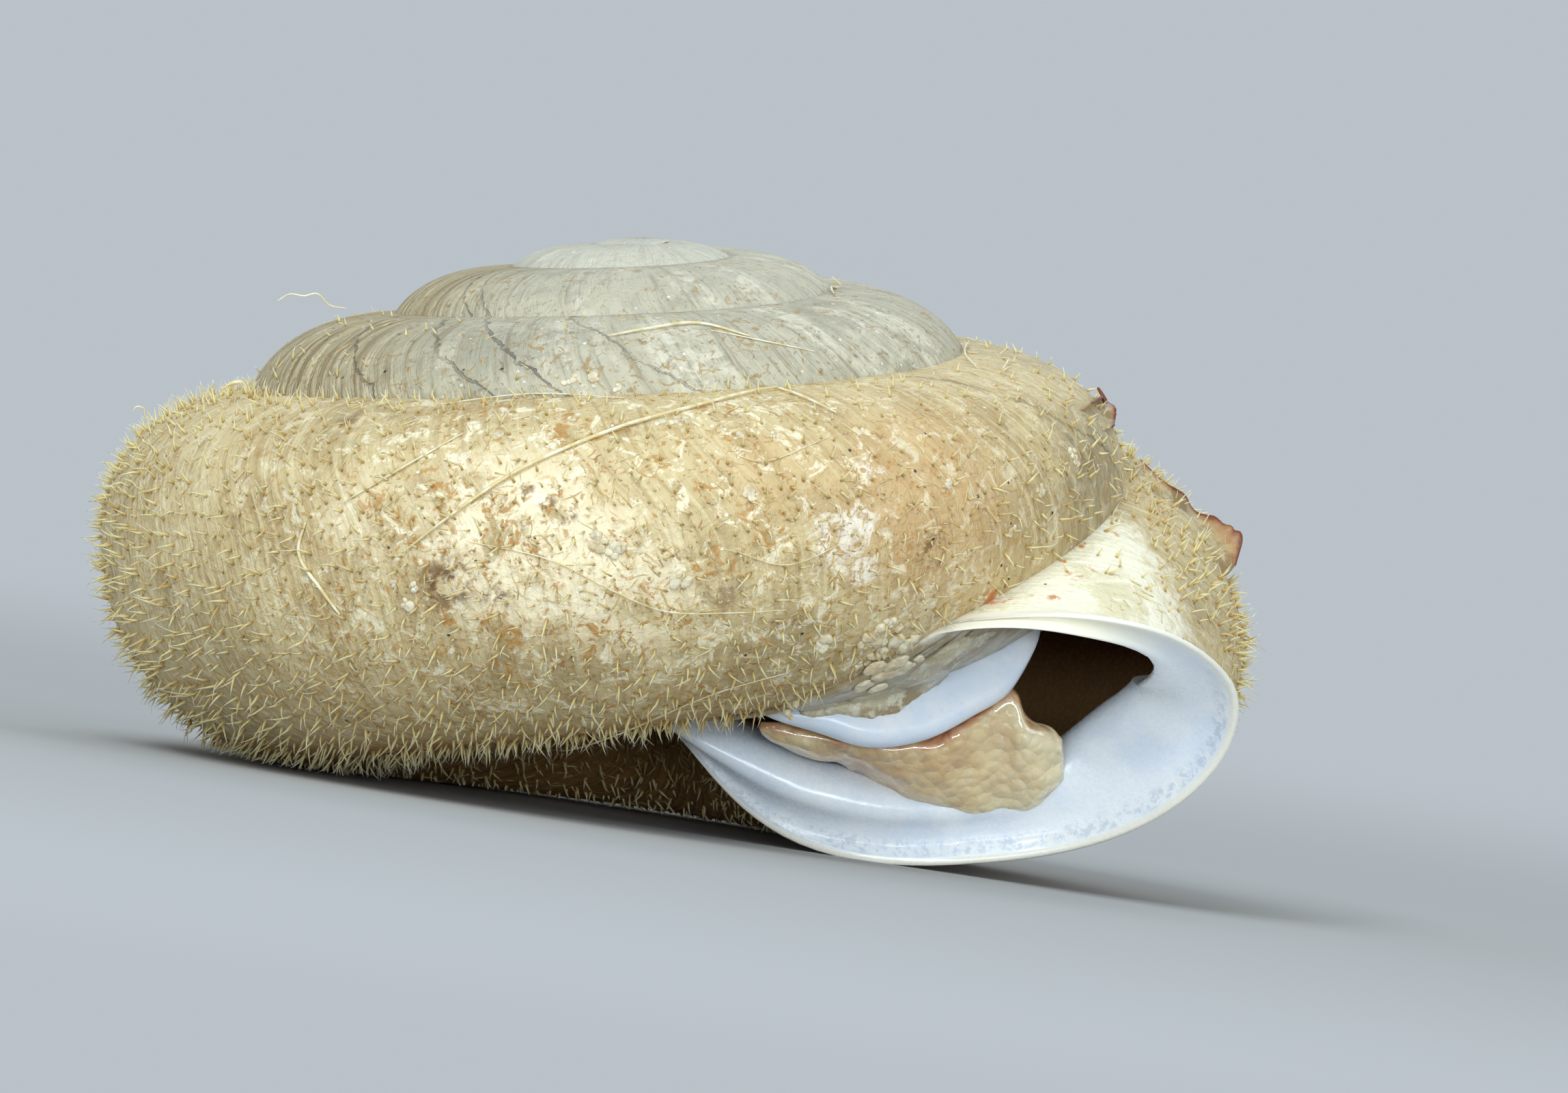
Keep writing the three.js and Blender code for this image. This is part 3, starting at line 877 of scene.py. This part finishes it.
def build_tooth(finish):
    """The long curved tooth: a rounded crest, with its root in the wall behind."""
    crest = path_through(TOOTH_CREST, 80)
    share = np.linspace(0, 1, 80)[:, None]
    to_root = unit(np.array(TOOTH_ROOT))
    across = between(np.array([1, 0.28, 0]), np.array([0.3, 0.95, 0]), ease(share, 0.75, 1))
    side = unit(np.cross(to_root, across))
    full = 0.25 + 0.75 * ease(share, 0, 0.25) + 0.25 * ease(share, 0.6, 0.9)
    half = TOOTH_HALF_THICKNESS * full
    turns = np.linspace(-math.pi / 2, math.pi / 2, 17)
    depth = np.concatenate([[1.2, 0.75, 0.4], TOOTH_HALF_THICKNESS * (1 - np.cos(turns)), [0.4, 0.75, 1.2]])
    swell = np.concatenate([[-0.9, -1.0, -1.05], np.sin(turns), [1.05, 1.0, 0.9]])
    rows = crest[:, None] + to_root * (depth[None, :, None] * np.maximum(full, 0.5)[:, None])
    rows = rows + side[:, None] * (swell[None, :, None] * half[:, None])
    rows = np.concatenate([rows, rows[:, :1]], axis=1)
    tooth = new_piece("tooth", facing_out(lofted(placed(rows))), finish)
    return tooth


# Where the dried tissue sits: its top edge, its bottom edge and half its thickness
TISSUE = [
    ((1.2, -2.3, -4.98), (1.22, -2.1, -5.03), 0.05), ((1.45, -2.32, -5.03), (1.5, -2.0, -5.2), 0.1),
    ((1.7, -2.38, -5.08), (1.72, -1.95, -5.27), 0.1), ((1.95, -2.42, -5.13), (1.98, -1.85, -5.3), 0.1),
    ((2.14, -2.4, -5.15), (2.14, -1.6, -5.5), 0.13), ((2.63, -2.36, -5.2), (2.63, -1.5, -5.75), 0.19),
    ((3.13, -2.3, -5.1), (3.13, -1.5, -5.92), 0.24), ((3.5, -2.2, -4.84), (3.5, -1.45, -6), 0.26),
    ((3.88, -2.08, -4.62), (3.87, -1.45, -5.98), 0.27), ((4.08, -2.08, -4.95), (4.12, -1.45, -5.92), 0.28),
    ((4.3, -2, -5.08), (4.32, -1.45, -5.85), 0.2), ((4.42, -1.95, -5.2), (4.42, -1.45, -5.72), 0.06),
]


def roughened(bm, amount, size, seed, detail):
    """Pushes points in and out by a lumpy noise, in metres."""
    bm.normal_update()
    offset = Vector((seed, seed * 0.7, 0))
    moves = [v.normal * (noise.fractal(v.co / size + offset, 1.0, 2.0, detail) * amount) for v in bm.verts]
    for v, move in zip(bm.verts, moves):
        v.co += move
    return bm


def build_tissue(finish):
    tops, bottoms, halves = zip(*TISSUE)
    count = 90
    top, bottom = path_through(tops, count), path_through(bottoms, count)
    along = np.linspace(0, 1, count)
    half = np.interp(along, np.linspace(0, 1, len(halves)), halves)[:, None, None]
    turns = np.linspace(0, 2 * math.pi, 49)
    middle, reach = ((top + bottom) / 2)[:, None], ((top - bottom) / 2)[:, None]
    out = unit(np.cross(np.array([1.0, 0, 0]), reach))
    cos, sin = np.cos(turns)[None, :, None], np.sin(turns)[None, :, None]
    square = (np.abs(cos) ** 0.7) * np.sign(cos), (np.abs(sin) ** 0.9) * np.sign(sin)
    rows = middle + reach * square[0] + out * square[1] * half
    marks = {"top": (cos[..., 0] + 1) / 2, "along": along[:, None]}
    bm = facing_out(lofted(placed(rows), marks))
    tissue = new_piece("tissue_scrap", roughened(bm, 0.00007, 0.0005, 3.0, 2), finish)
    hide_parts("dried_tissue")


# Hairs


def one_hair():
    """A closed four-sided cone of unit height, cut into three lengths."""
    bm = bmesh.new()
    bmesh.ops.create_cone(bm, cap_ends=True, cap_tris=True, segments=4, radius1=1, radius2=0, depth=1)
    bmesh.ops.translate(bm, vec=(0, 0, 0.5), verts=bm.verts)
    for height in (0.35, 0.7):
        parts = bm.verts[:] + bm.edges[:] + bm.faces[:]
        bmesh.ops.bisect_plane(bm, geom=parts, plane_co=(0, 0, height), plane_no=(0, 0, 1))
    return bm


def repeated(bm, count):
    """Copies of one shape, numbered in the layer "number"."""
    number = bm.verts.layers.float.new("number")
    made = 1
    while made < count:
        copies = bmesh.ops.duplicate(bm, geom=bm.verts[:] + bm.edges[:] + bm.faces[:])["geom"]
        for v in copies:
            if isinstance(v, bmesh.types.BMVert):
                v[number] += made
        made *= 2
    extra = [v for v in bm.verts if v[number] >= count]
    bmesh.ops.delete(bm, geom=extra, context="VERTS")
    return bm


def inside_next_whorl(turn, radius, level):
    """Whether points of a whorl are covered by the whorl that grew over it."""
    girths = np.linspace(1, 2.99, 40)
    over_r, over_z = outline_point(turn[:, None] + 1, girths[None, :])
    nearest = np.argmin(np.abs(over_r - radius[:, None]), axis=1)
    floor = np.take_along_axis(over_z, nearest[:, None], 1)[:, 0]
    seam, _, _, inner, _, _ = outline(turn + 1)
    height = np.clip((seam[1] - level) / (seam[1] - inner[1]), 0, 1)
    grown_over = turn + 1 < between(5.039, 5.13, height) + 0.012
    return (level < seam[1] + 0.06) & (level > floor - 0.1) & grown_over


# Hair rows: their step in age, and the gap between them in millimetres
ROW_STEP = 0.0047
ROW_GAP = 0.17


def hair_roots():
    """Turns, girths and ages of hairs in rough rows."""
    roots = []
    for age in np.arange(3.1, 4.985, ROW_STEP):
        spacing = ROW_GAP / (2 * math.pi * outline_point(age, 1.0)[0])
        if random.random() > ROW_STEP / spacing:
            continue
        girths = np.arange(0.05, 2.95, 0.055)
        girths = girths + random.uniform(-0.022, 0.022, girths.shape)
        ages = age + random.uniform(-0.4, 0.4, girths.shape) * spacing
        roots.append(np.stack([slanted(ages, girths), girths, ages], axis=1))
    return np.concatenate(roots)


def hair_density(turn, girth, age):
    """How many of the hairs are left, from 0 to 1: rubbed off on top and in front."""
    early = ease(age, 3.75, 4.2)
    sides = ease(girth, 0.45, 1.15)
    front = np.exp(-(((turn - 4.66) / 0.14) ** 2)) * (1 - ease(girth, 1.25, 1.6))
    right = ease(turn, 4.8, 4.93) * 0.5
    left = np.exp(-(((turn - 4.42) / 0.16) ** 2))
    upper = 0.3 + 0.4 * left + right
    density = between(upper, 1, sides) * between(1, 0.08, front) * between(1, 0.5, ease(girth, 2.0, 2.2))
    density = density * (1 - 0.8 * ease(age, 4.9, 4.93) * ease((age - 4.93) * 8 + 0.34 - girth, -0.1, 0.1))
    return density * between(0.12, 1, early) * (1 - ease(age, 4.965, 4.98) * (girth < 1))


def plant_hairs(name, turn, girth, lean, bend, length, thick, finish):
    """Hairs at turns and girths; lean and bend are along the growth and down the side, in hair lengths."""
    foot = skin(turn, girth, -0.012)
    outward = unit(skin(turn, girth, 0.1) - skin(turn, girth))
    forward = unit(skin(turn + 0.002, girth) - skin(turn, girth))
    down = np.cross(forward, outward)
    axis = unit(outward + forward * lean[:, :1] + down * lean[:, 1:])
    droop = forward * bend[:, :1] + down * bend[:, 1:]
    first = unit(np.cross(axis, forward * 0.9 + down * 0.35 + outward * 0.2))
    second = np.cross(axis, first)
    bm = repeated(one_hair(), len(turn))
    height = bm.verts.layers.float.new("height")
    for v in bm.verts:
        v[height] = v.co.z
    mesh = as_mesh(name, bm)
    local = coordinates(mesh)
    which = np.empty(len(mesh.vertices), np.float32)
    mesh.attributes["number"].data.foreach_get("value", which)
    i = which.astype(int)
    up = local[:, 2:]
    points = placed(
        foot[i]
        + axis[i] * (up * length[i, None])
        + droop[i] * (up**2 * length[i, None])
        + (first[i] * local[:, :1] + second[i] * local[:, 1:2]) * thick[i, None]
    )
    floor = 0.00003 + 0.00005 * np.minimum(1, np.abs(points[:, 2]) / 0.0002)
    points[:, 2] = np.maximum(points[:, 2], floor)
    move_points(mesh, points)
    mesh.update()
    new_piece(name, mesh, finish)


def open_roots(keep_share):
    """Rooting places that no later whorl covers."""
    turn, girth, age = hair_roots().T
    keep = random.random(len(turn)) < keep_share(turn, girth, age)
    keep &= ~inside_next_whorl(turn, *off_outline(turn, girth, 0.0))
    return turn[keep], girth[keep], age[keep]


def matted_density(turn, girth, age):
    """How many hairs lie flat: most on the top and front of the last whorl."""
    early = ease(age, 3.7, 4.1)
    roof = ease(age, 4.9, 4.94) * (girth < 0.45)
    return between(0.08, 0.7, early) * between(1, 0.35, ease(girth, 1.3, 1.8)) * (1 - roof)


def build_hairs(upright_finish, matted_finish):
    turn, girth, age = open_roots(hair_density)
    count = len(turn)
    early = ease(age, 3.75, 4.2)
    lean = random.normal(0, 0.32, (count, 2)) + (0.1, 0.12)
    bend = random.normal(0, 0.28, (count, 2))
    length = random.uniform(0.17, 0.29, count) * between(0.6, 1, early)
    length *= np.where(random.random(count) < 0.2, 0.5, 1) * between(0.75, 1, ease(girth, 0.3, 1.2))
    length *= between(1, 0.65, ease(girth, 2.0, 2.2))
    thick = random.uniform(0.015, 0.024, count)
    plant_hairs("hairs", turn, girth, lean, bend, length, thick, upright_finish)
    turn, girth, age = open_roots(matted_density)
    count = len(turn)
    around = random.uniform(0, 2 * math.pi, count)
    lean = np.stack([np.cos(around), np.sin(around)], axis=1) * random.uniform(5, 12, (count, 1))
    bend = random.normal(0, 0.3, (count, 2))
    length = random.uniform(0.1, 0.24, count)
    thick = random.uniform(0.01, 0.018, count)
    plant_hairs("matted_hairs", turn, girth, lean, bend, length, thick, matted_finish)


# Loose bits: fibres, crumbs and peeled skin


def tube(points, radii):
    """The rings of a thin six-sided tube along a path, in metres."""
    along = unit(np.gradient(points, axis=0))
    side = unit(np.cross(along, np.array([0.31, 0.2, 0.93])))
    other = np.cross(along, side)
    turns = np.linspace(0, 2 * math.pi, 7)[None, :, None]
    ring = side[:, None] * np.cos(turns) + other[:, None] * np.sin(turns)
    return points[:, None] + ring * radii[:, None, None]


# Fibres by the pixels of the view they pass, their height off the skin and half-width in mm
FIBRES = [
    ([(520, 706), (580, 660), (653, 611), (776, 556), (900, 520), (958, 505), (995, 499)], 0.035, 0.021),
    ([(985, 498), (1015, 508), (1040, 519), (1066, 532)], 0.035, 0.013),
    ([(398, 666), (389, 700), (421, 756), (442, 784)], 0.02, 0.022),
    ([(442, 645), (520, 600), (598, 556)], 0.03, 0.012),
    ([(775, 434), (830, 424), (887, 417), (958, 434)], 0.03, 0.016),
    ([(905, 425), (980, 440), (1040, 452)], 0.02, 0.008),
    ([(600, 690), (714, 717), (784, 752), (846, 777), (930, 780), (1006, 776)], 0.02, 0.009),
    ([(690, 945), (800, 925), (930, 872), (1010, 850)], 0.05, 0.01),
    ([(560, 520), (680, 505), (800, 512)], 0.02, 0.008),
    ([(880, 540), (960, 590), (1060, 560)], 0.02, 0.007),
    ([(1080, 690), (1000, 720), (930, 700)], 0.02, 0.007),
    ([(352, 384), (368, 375), (388, 377), (402, 374), (420, 389), (441, 393)], 0.04, 0.01),
    ([(283, 497), (296, 489), (309, 488), (322, 499)], 0.05, 0.022),
    ([(168, 525), (172, 519), (182, 521), (184, 532), (196, 536)], 0.05, 0.009),
    ([(1236, 440), (1225, 448), (1232, 462), (1243, 474)], 0.05, 0.012),
    ([(1288, 441), (1282, 452), (1284, 466), (1275, 480)], 0.06, 0.012),
    ([(1060, 352), (1066, 362), (1060, 372), (1063, 380)], 0.04, 0.014),
]


def build_fibres(surface, finish):
    parts = []
    for pixels, lift, half_width in FIBRES:
        places = [hit(surface, x, y, lift)[0] for x, y in pixels]
        landed = [i for i, place in enumerate(places) if place is not None]
        for i, pixel in enumerate(pixels):
            if i not in landed:
                base = places[min(landed, key=lambda k: abs(k - i))] if landed else Vector()
                start, along = photo_ray(*pixel)
                places[i] = start + along * (base - start).dot(along)
        count = 14 * len(places)
        path = path_through([tuple(place) for place in places], count)
        share = np.clip(np.linspace(0, 1, count), 0.03, 0.97)
        radii = 0.001 * half_width * (0.35 + 0.65 * np.sin(np.pi * share) ** 0.5)
        parts.append(as_mesh("fibre", facing_out(lofted(tube(path, radii)))))
    fibres = new_piece("loose_fibres", gathered(*parts), finish)


# Crumbs of crust by pixel, and their width and height in hundredths of a millimetre
CRUMBS = [
    (1051, 818, 19, 13), (1098, 821, 17, 12), (1114, 815, 20, 14), (1127, 804, 20, 12), (1133, 794, 13, 10),
    (1122, 831, 18, 12), (1142, 816, 20, 12), (1155, 818, 20, 10), (1128, 857, 34, 9), (1148, 847, 28, 8),
    (1107, 871, 28, 9), (1095, 848, 12, 7), (1010, 901, 13, 10), (1170, 840, 14, 6), (525, 770, 14, 7),
    (536, 748, 10, 6), (508, 745, 9, 5), (846, 541, 12, 5), (861, 539, 12, 5), (875, 537, 10, 4),
    (764, 690, 16, 6), (782, 697, 18, 7), (797, 698, 14, 6), (865, 738, 20, 6), (955, 625, 15, 5),
    (1210, 620, 10, 3), (1325, 628, 12, 5), (1286, 680, 10, 4), (640, 556, 9, 3), (1250, 765, 10, 4),
    (760, 487, 12, 4), (728, 487, 9, 3), (790, 497, 8, 3), (988, 557, 7, 5), (1366, 578, 9, 5),
    (1370, 590, 10, 4),
]
CRUMBS_IN_A_CLUMP = 5


def build_crumbs(surface, finish):
    whole = bmesh.new()
    for number, (x, y, width, height) in enumerate(CRUMBS):
        width, height = width / 100, height / 100
        place, normal = hit(surface, x, y, height * 0.1)
        standing = Matrix.Translation(place) @ normal.to_track_quat("Z", "Y").to_matrix().to_4x4()
        for _ in range(CRUMBS_IN_A_CLUMP):
            made = bmesh.ops.create_icosphere(whole, subdivisions=3, radius=0.0005)["verts"]
            lump = len(whole.verts)
            for v in made:
                v.co *= 1 + 0.3 * noise.fractal(v.co * 2200 + Vector((number, lump, 0)), 1.0, 2.0, 3)
            share = random.uniform(0.5, 0.85)
            shape = Matrix.Diagonal((width * share, width * share * random.uniform(0.65, 1), height * share, 1))
            aside = Matrix.Translation((*random.normal(0, width * 0.00028, 2), 0))
            spin = Matrix.Rotation(random.uniform(0, 6), 4, "Z")
            bmesh.ops.transform(whole, matrix=standing @ aside @ spin @ shape, verts=made)
    crumbs = new_piece("crust_crumbs", facing_out(whole), finish)


# The edges of the crust between the tooth and the whorl above it, in pixels of the view
CRUST_LOW = [
    (1022, 912), (1042, 916), (1072, 911), (1100, 915), (1122, 917), (1147, 908), (1165, 893), (1178, 885),
    (1197, 871), (1222, 848), (1252, 823), (1272, 810),
]
CRUST_HIGH = [
    (1018, 904), (1042, 899), (1072, 894), (1100, 886), (1127, 880), (1147, 866), (1167, 850), (1185, 836),
    (1202, 824), (1220, 812), (1242, 806), (1268, 804),
]


def smoothed(grid, times):
    """Evens out a grid of points, all but its edges."""
    for _ in range(times):
        grid[1:-1, 1:-1] = (grid[:-2, 1:-1] + grid[2:, 1:-1] + grid[1:-1, :-2] + grid[1:-1, 2:]) / 4
    return grid


def build_crust(shell, tooth, finish):
    """A lumpy film of crust that bridges the wall and the root of the tooth."""
    both = bmesh.new()
    both.from_mesh(shell.data)
    both.from_mesh(tooth.data)
    carrier = BVHTree.FromBMesh(both)
    both.free()
    across, along = 15, 90
    low, high = path_through(CRUST_LOW, along), path_through(CRUST_HIGH, along)
    rows = np.empty((across, along, 3))
    facing = np.empty((across, along, 3))
    for i in range(across):
        for j in range(along):
            ragged = 5 * noise.fractal((j * 0.16, 3.0, 0), 1.0, 2.0, 3)
            x, y = between(low[j] + (0, ragged), high[j] + (0, ragged * 0.4), i / (across - 1))
            place, normal = hit(carrier, x, y)
            rows[i, j] = place if place is not None else rows[i, j - 1]
            facing[i, j] = normal if place is not None else facing[i, j - 1]
    rows = smoothed(rows, 14)
    inner = np.sin(np.pi * np.linspace(0, 1, across))[:, None] ** 0.6
    inner = inner * np.sin(np.pi * np.linspace(0.01, 0.99, along))[None] ** 0.3
    lumps = [[noise.fractal(Vector(p) * 4200, 1.0, 2.0, 4) for p in row] for row in rows]
    lift = inner * (0.075 + 0.05 * np.array(lumps)) - 0.02
    sheet = thickened(rows + smoothed(unit(facing), 8) * lift[..., None] * 0.001, 0.00004)
    new_piece("crust_film", facing_out(sheet), finish)


# The outer edges of the peeled skin and the stalk on the curled flake, in pixels of the view
TORN_EDGE = [
    (1450, 594), (1468, 615), (1484, 628), (1504, 640), (1524, 649), (1551, 661), (1574, 672), (1596, 693),
]
CURLED_FLAKE = [(1386, 523), (1396, 516), (1411, 511), (1423, 519), (1421, 534), (1410, 547)]
FLAKE_STALK = [(1400, 494), (1406, 504), (1411, 515)]


def beside(surface, pixel, aside):
    """A place beside the shell, level with where its outline is met on the way aside, and two places there."""
    pixel, aside = Vector(pixel), Vector(aside)
    place, normal = hit(surface, *pixel, 0.1)
    if place is not None:
        front, _ = hit(surface, *(pixel + aside * 12))
        return place, place - normal * 0.00004, front - normal * 0.00003
    steps = 0
    while place is None:
        steps += 1
        place, normal = hit(surface, *(pixel + aside * steps))
    front, _ = hit(surface, *(pixel + aside * (steps + 9)))
    start, along = photo_ray(*pixel)
    return start + along * (place - start).dot(along), place + normal * 0.00003, front - normal * 0.00003


def peel(surface, edge_pixels, aside, seed, wave):
    """A thin peel of skin from its torn edge, through a bend, to its root."""
    count = 90
    places = np.array([beside(surface, pixel, aside) for pixel in edge_pixels])
    at = np.linspace(0, 1, count)
    stations = np.linspace(0, 1, len(places))
    edge, bend, root = (
        np.stack([curve_through(stations, column, at) for column in line.T], axis=1)
        for line in places.transpose(1, 0, 2)
    )
    ragged = np.array([noise.fractal((seed, k * 0.12, 0), 1.0, 2.0, 3) for k in range(count)])
    full = ease(at, -0.15, 0.1) * (1 - 0.9 * ease(at, 0.92, 1.04)) * (1 + 0.2 * ragged)
    edge = between(bend, edge, full[:, None])
    share = np.linspace(0, 1, 15)[:, None, None]
    rows = root * (1 - share) ** 2 + bend * (2 * share * (1 - share)) + edge * share**2
    waves = np.sin(np.linspace(0, 9, count) + seed)[None, :, None] * (wave * 0.001 * share)
    rows = rows + waves * np.array(photo_ray(0, 0)[1])
    return as_mesh("peel", facing_out(thickened(rows, 0.00003, {"edge": share[..., 0]})))


def build_flakes(surface, finish):
    """A curled flake of skin on the shoulder and a torn edge of skin behind the mouth."""
    stalk = path_through([tuple(beside(surface, pixel, (-0.6, 0.8))[0]) for pixel in FLAKE_STALK], 16)
    whole = gathered(
        peel(surface, TORN_EDGE, (-0.6, 0.8), 1.0, 0.05),
        peel(surface, CURLED_FLAKE, (-0.95, 0.3), 4.0, 0.09),
        as_mesh("stalk", facing_out(lofted(tube(stalk, np.linspace(0.000015, 0.00003, 16)), {"edge": 1.0}))),
    )
    flakes = new_piece("peeled_skin", whole, finish)


# The camera, floor and lights


def set_camera():
    data = bpy.data.cameras.new("camera")
    data.lens, data.sensor_width = LENS, SENSOR
    data.clip_start, data.clip_end = 0.01, 10
    camera = new_object("camera", data)
    sin, cos = math.sin(CAMERA_RISE), math.cos(CAMERA_RISE)
    right, up, back = Vector((1, 0, 0)), Vector((0, sin, cos)), Vector((0, -cos, sin))
    middle = right * (IMAGE_SIZE[0] / 2 - AXIS_PIXEL[0]) - up * (IMAGE_SIZE[1] / 2 - AXIS_PIXEL[1])
    turned = Matrix((right, up, back)).transposed().to_4x4()
    turned.translation = (middle + back * (LENS * IMAGE_SIZE[0] / SENSOR)) / PIXELS_PER_MM
    whole = rest @ turned
    whole.translation *= 0.001
    camera.matrix_world = whole
    bpy.context.scene.camera = camera


def add_light(name, size, power, at, towards, colour):
    data = bpy.data.lights.new(name, "AREA")
    data.shape, data.size, data.size_y = "RECTANGLE", size[0], size[1]
    data.energy, data.color = power, colour
    light = new_object(name, data)
    light.location = at
    light.rotation_euler = (Vector(towards) - Vector(at)).to_track_quat("-Z", "Y").to_euler()


BACKDROP = (0.49, 0.54, 0.58, 1)


def make_floor_finish():
    """A pale floor that fades into the backdrop's brightness far away."""
    f = Finish("pale floor")
    far = f.node("VectorMath", {"operation": "LENGTH"}, {0: f.at}, output="Value").ease(14.0, 70.0)
    matt = f.node("BsdfDiffuse", {}, {"Color": (0.42, 0.42, 0.42, 1)})
    glow = f.node("Emission", {}, {"Color": BACKDROP, "Strength": 1.0})
    f.node("OutputMaterial", {}, {"Surface": f.node("MixShader", {}, {0: far, 1: matt, 2: glow})})
    return f.material


def set_studio():
    bm = bmesh.new()
    bmesh.ops.create_circle(bm, cap_ends=True, segments=64, radius=3.0)
    floor = new_object("floor", as_mesh("floor", bm), make_floor_finish())
    world = bpy.data.worlds.new("studio")
    world.use_nodes = True
    backdrop = world.node_tree.nodes["Background"].inputs
    backdrop["Color"].default_value = BACKDROP
    backdrop["Strength"].default_value = 1.0
    bpy.context.scene.world = world
    for light in (
        ("key softbox", (0.09, 0.07), 0.13, (-0.05, -0.1, 0.12), (0, 0, 0.003), (0.84, 0.94, 1)),
        ("lamp", (0.014, 0.014), 0.032, (-0.045, -0.12, 0.075), (0.001, -0.003, 0.002), (0.86, 0.95, 1)),
        ("low fill softbox", (0.1, 0.011), 0.064, (0, -0.13, 0.012), (0, 0, 0.001), (0.84, 0.94, 1)),
        ("mouth lamp", (0.008, 0.008), 0.01, (0.03, -0.13, 0.028), (0.002, -0.003, 0.001), (0.9, 0.97, 1)),
        ("side softbox", (0.07, 0.07), 0.035, (0.12, -0.08, 0.06), (0, 0, 0.003), (0.86, 0.95, 1)),
        ("back softbox", (0.12, 0.06), 0.055, (0.02, 0.12, 0.1), (0, 0, 0.003), (0.88, 0.96, 1)),
    ):
        add_light(*light)


set_camera()
set_studio()
bpy.context.scene.view_settings.view_transform = "Standard"
shell = build_shell()
surface = BVHTree.FromObject(shell, bpy.context.evaluated_depsgraph_get())
dress_shell(shell, surface)
tooth = build_tooth(make_porcelain_finish("tooth porcelain"))
build_crust(shell, tooth, make_film_finish())
build_tissue(make_tissue_finish())
build_hairs(
    make_hair_finish("golden hair", tone(68, 53, 30), tone(87, 79, 57), tone(96, 93, 81)),
    make_hair_finish("matted hair", tone(80, 63, 36), tone(88, 76, 50), tone(95, 88, 68)),
)
build_fibres(surface, make_fibre_finish())
build_crumbs(surface, make_crust_finish())
build_flakes(surface, make_flake_finish())
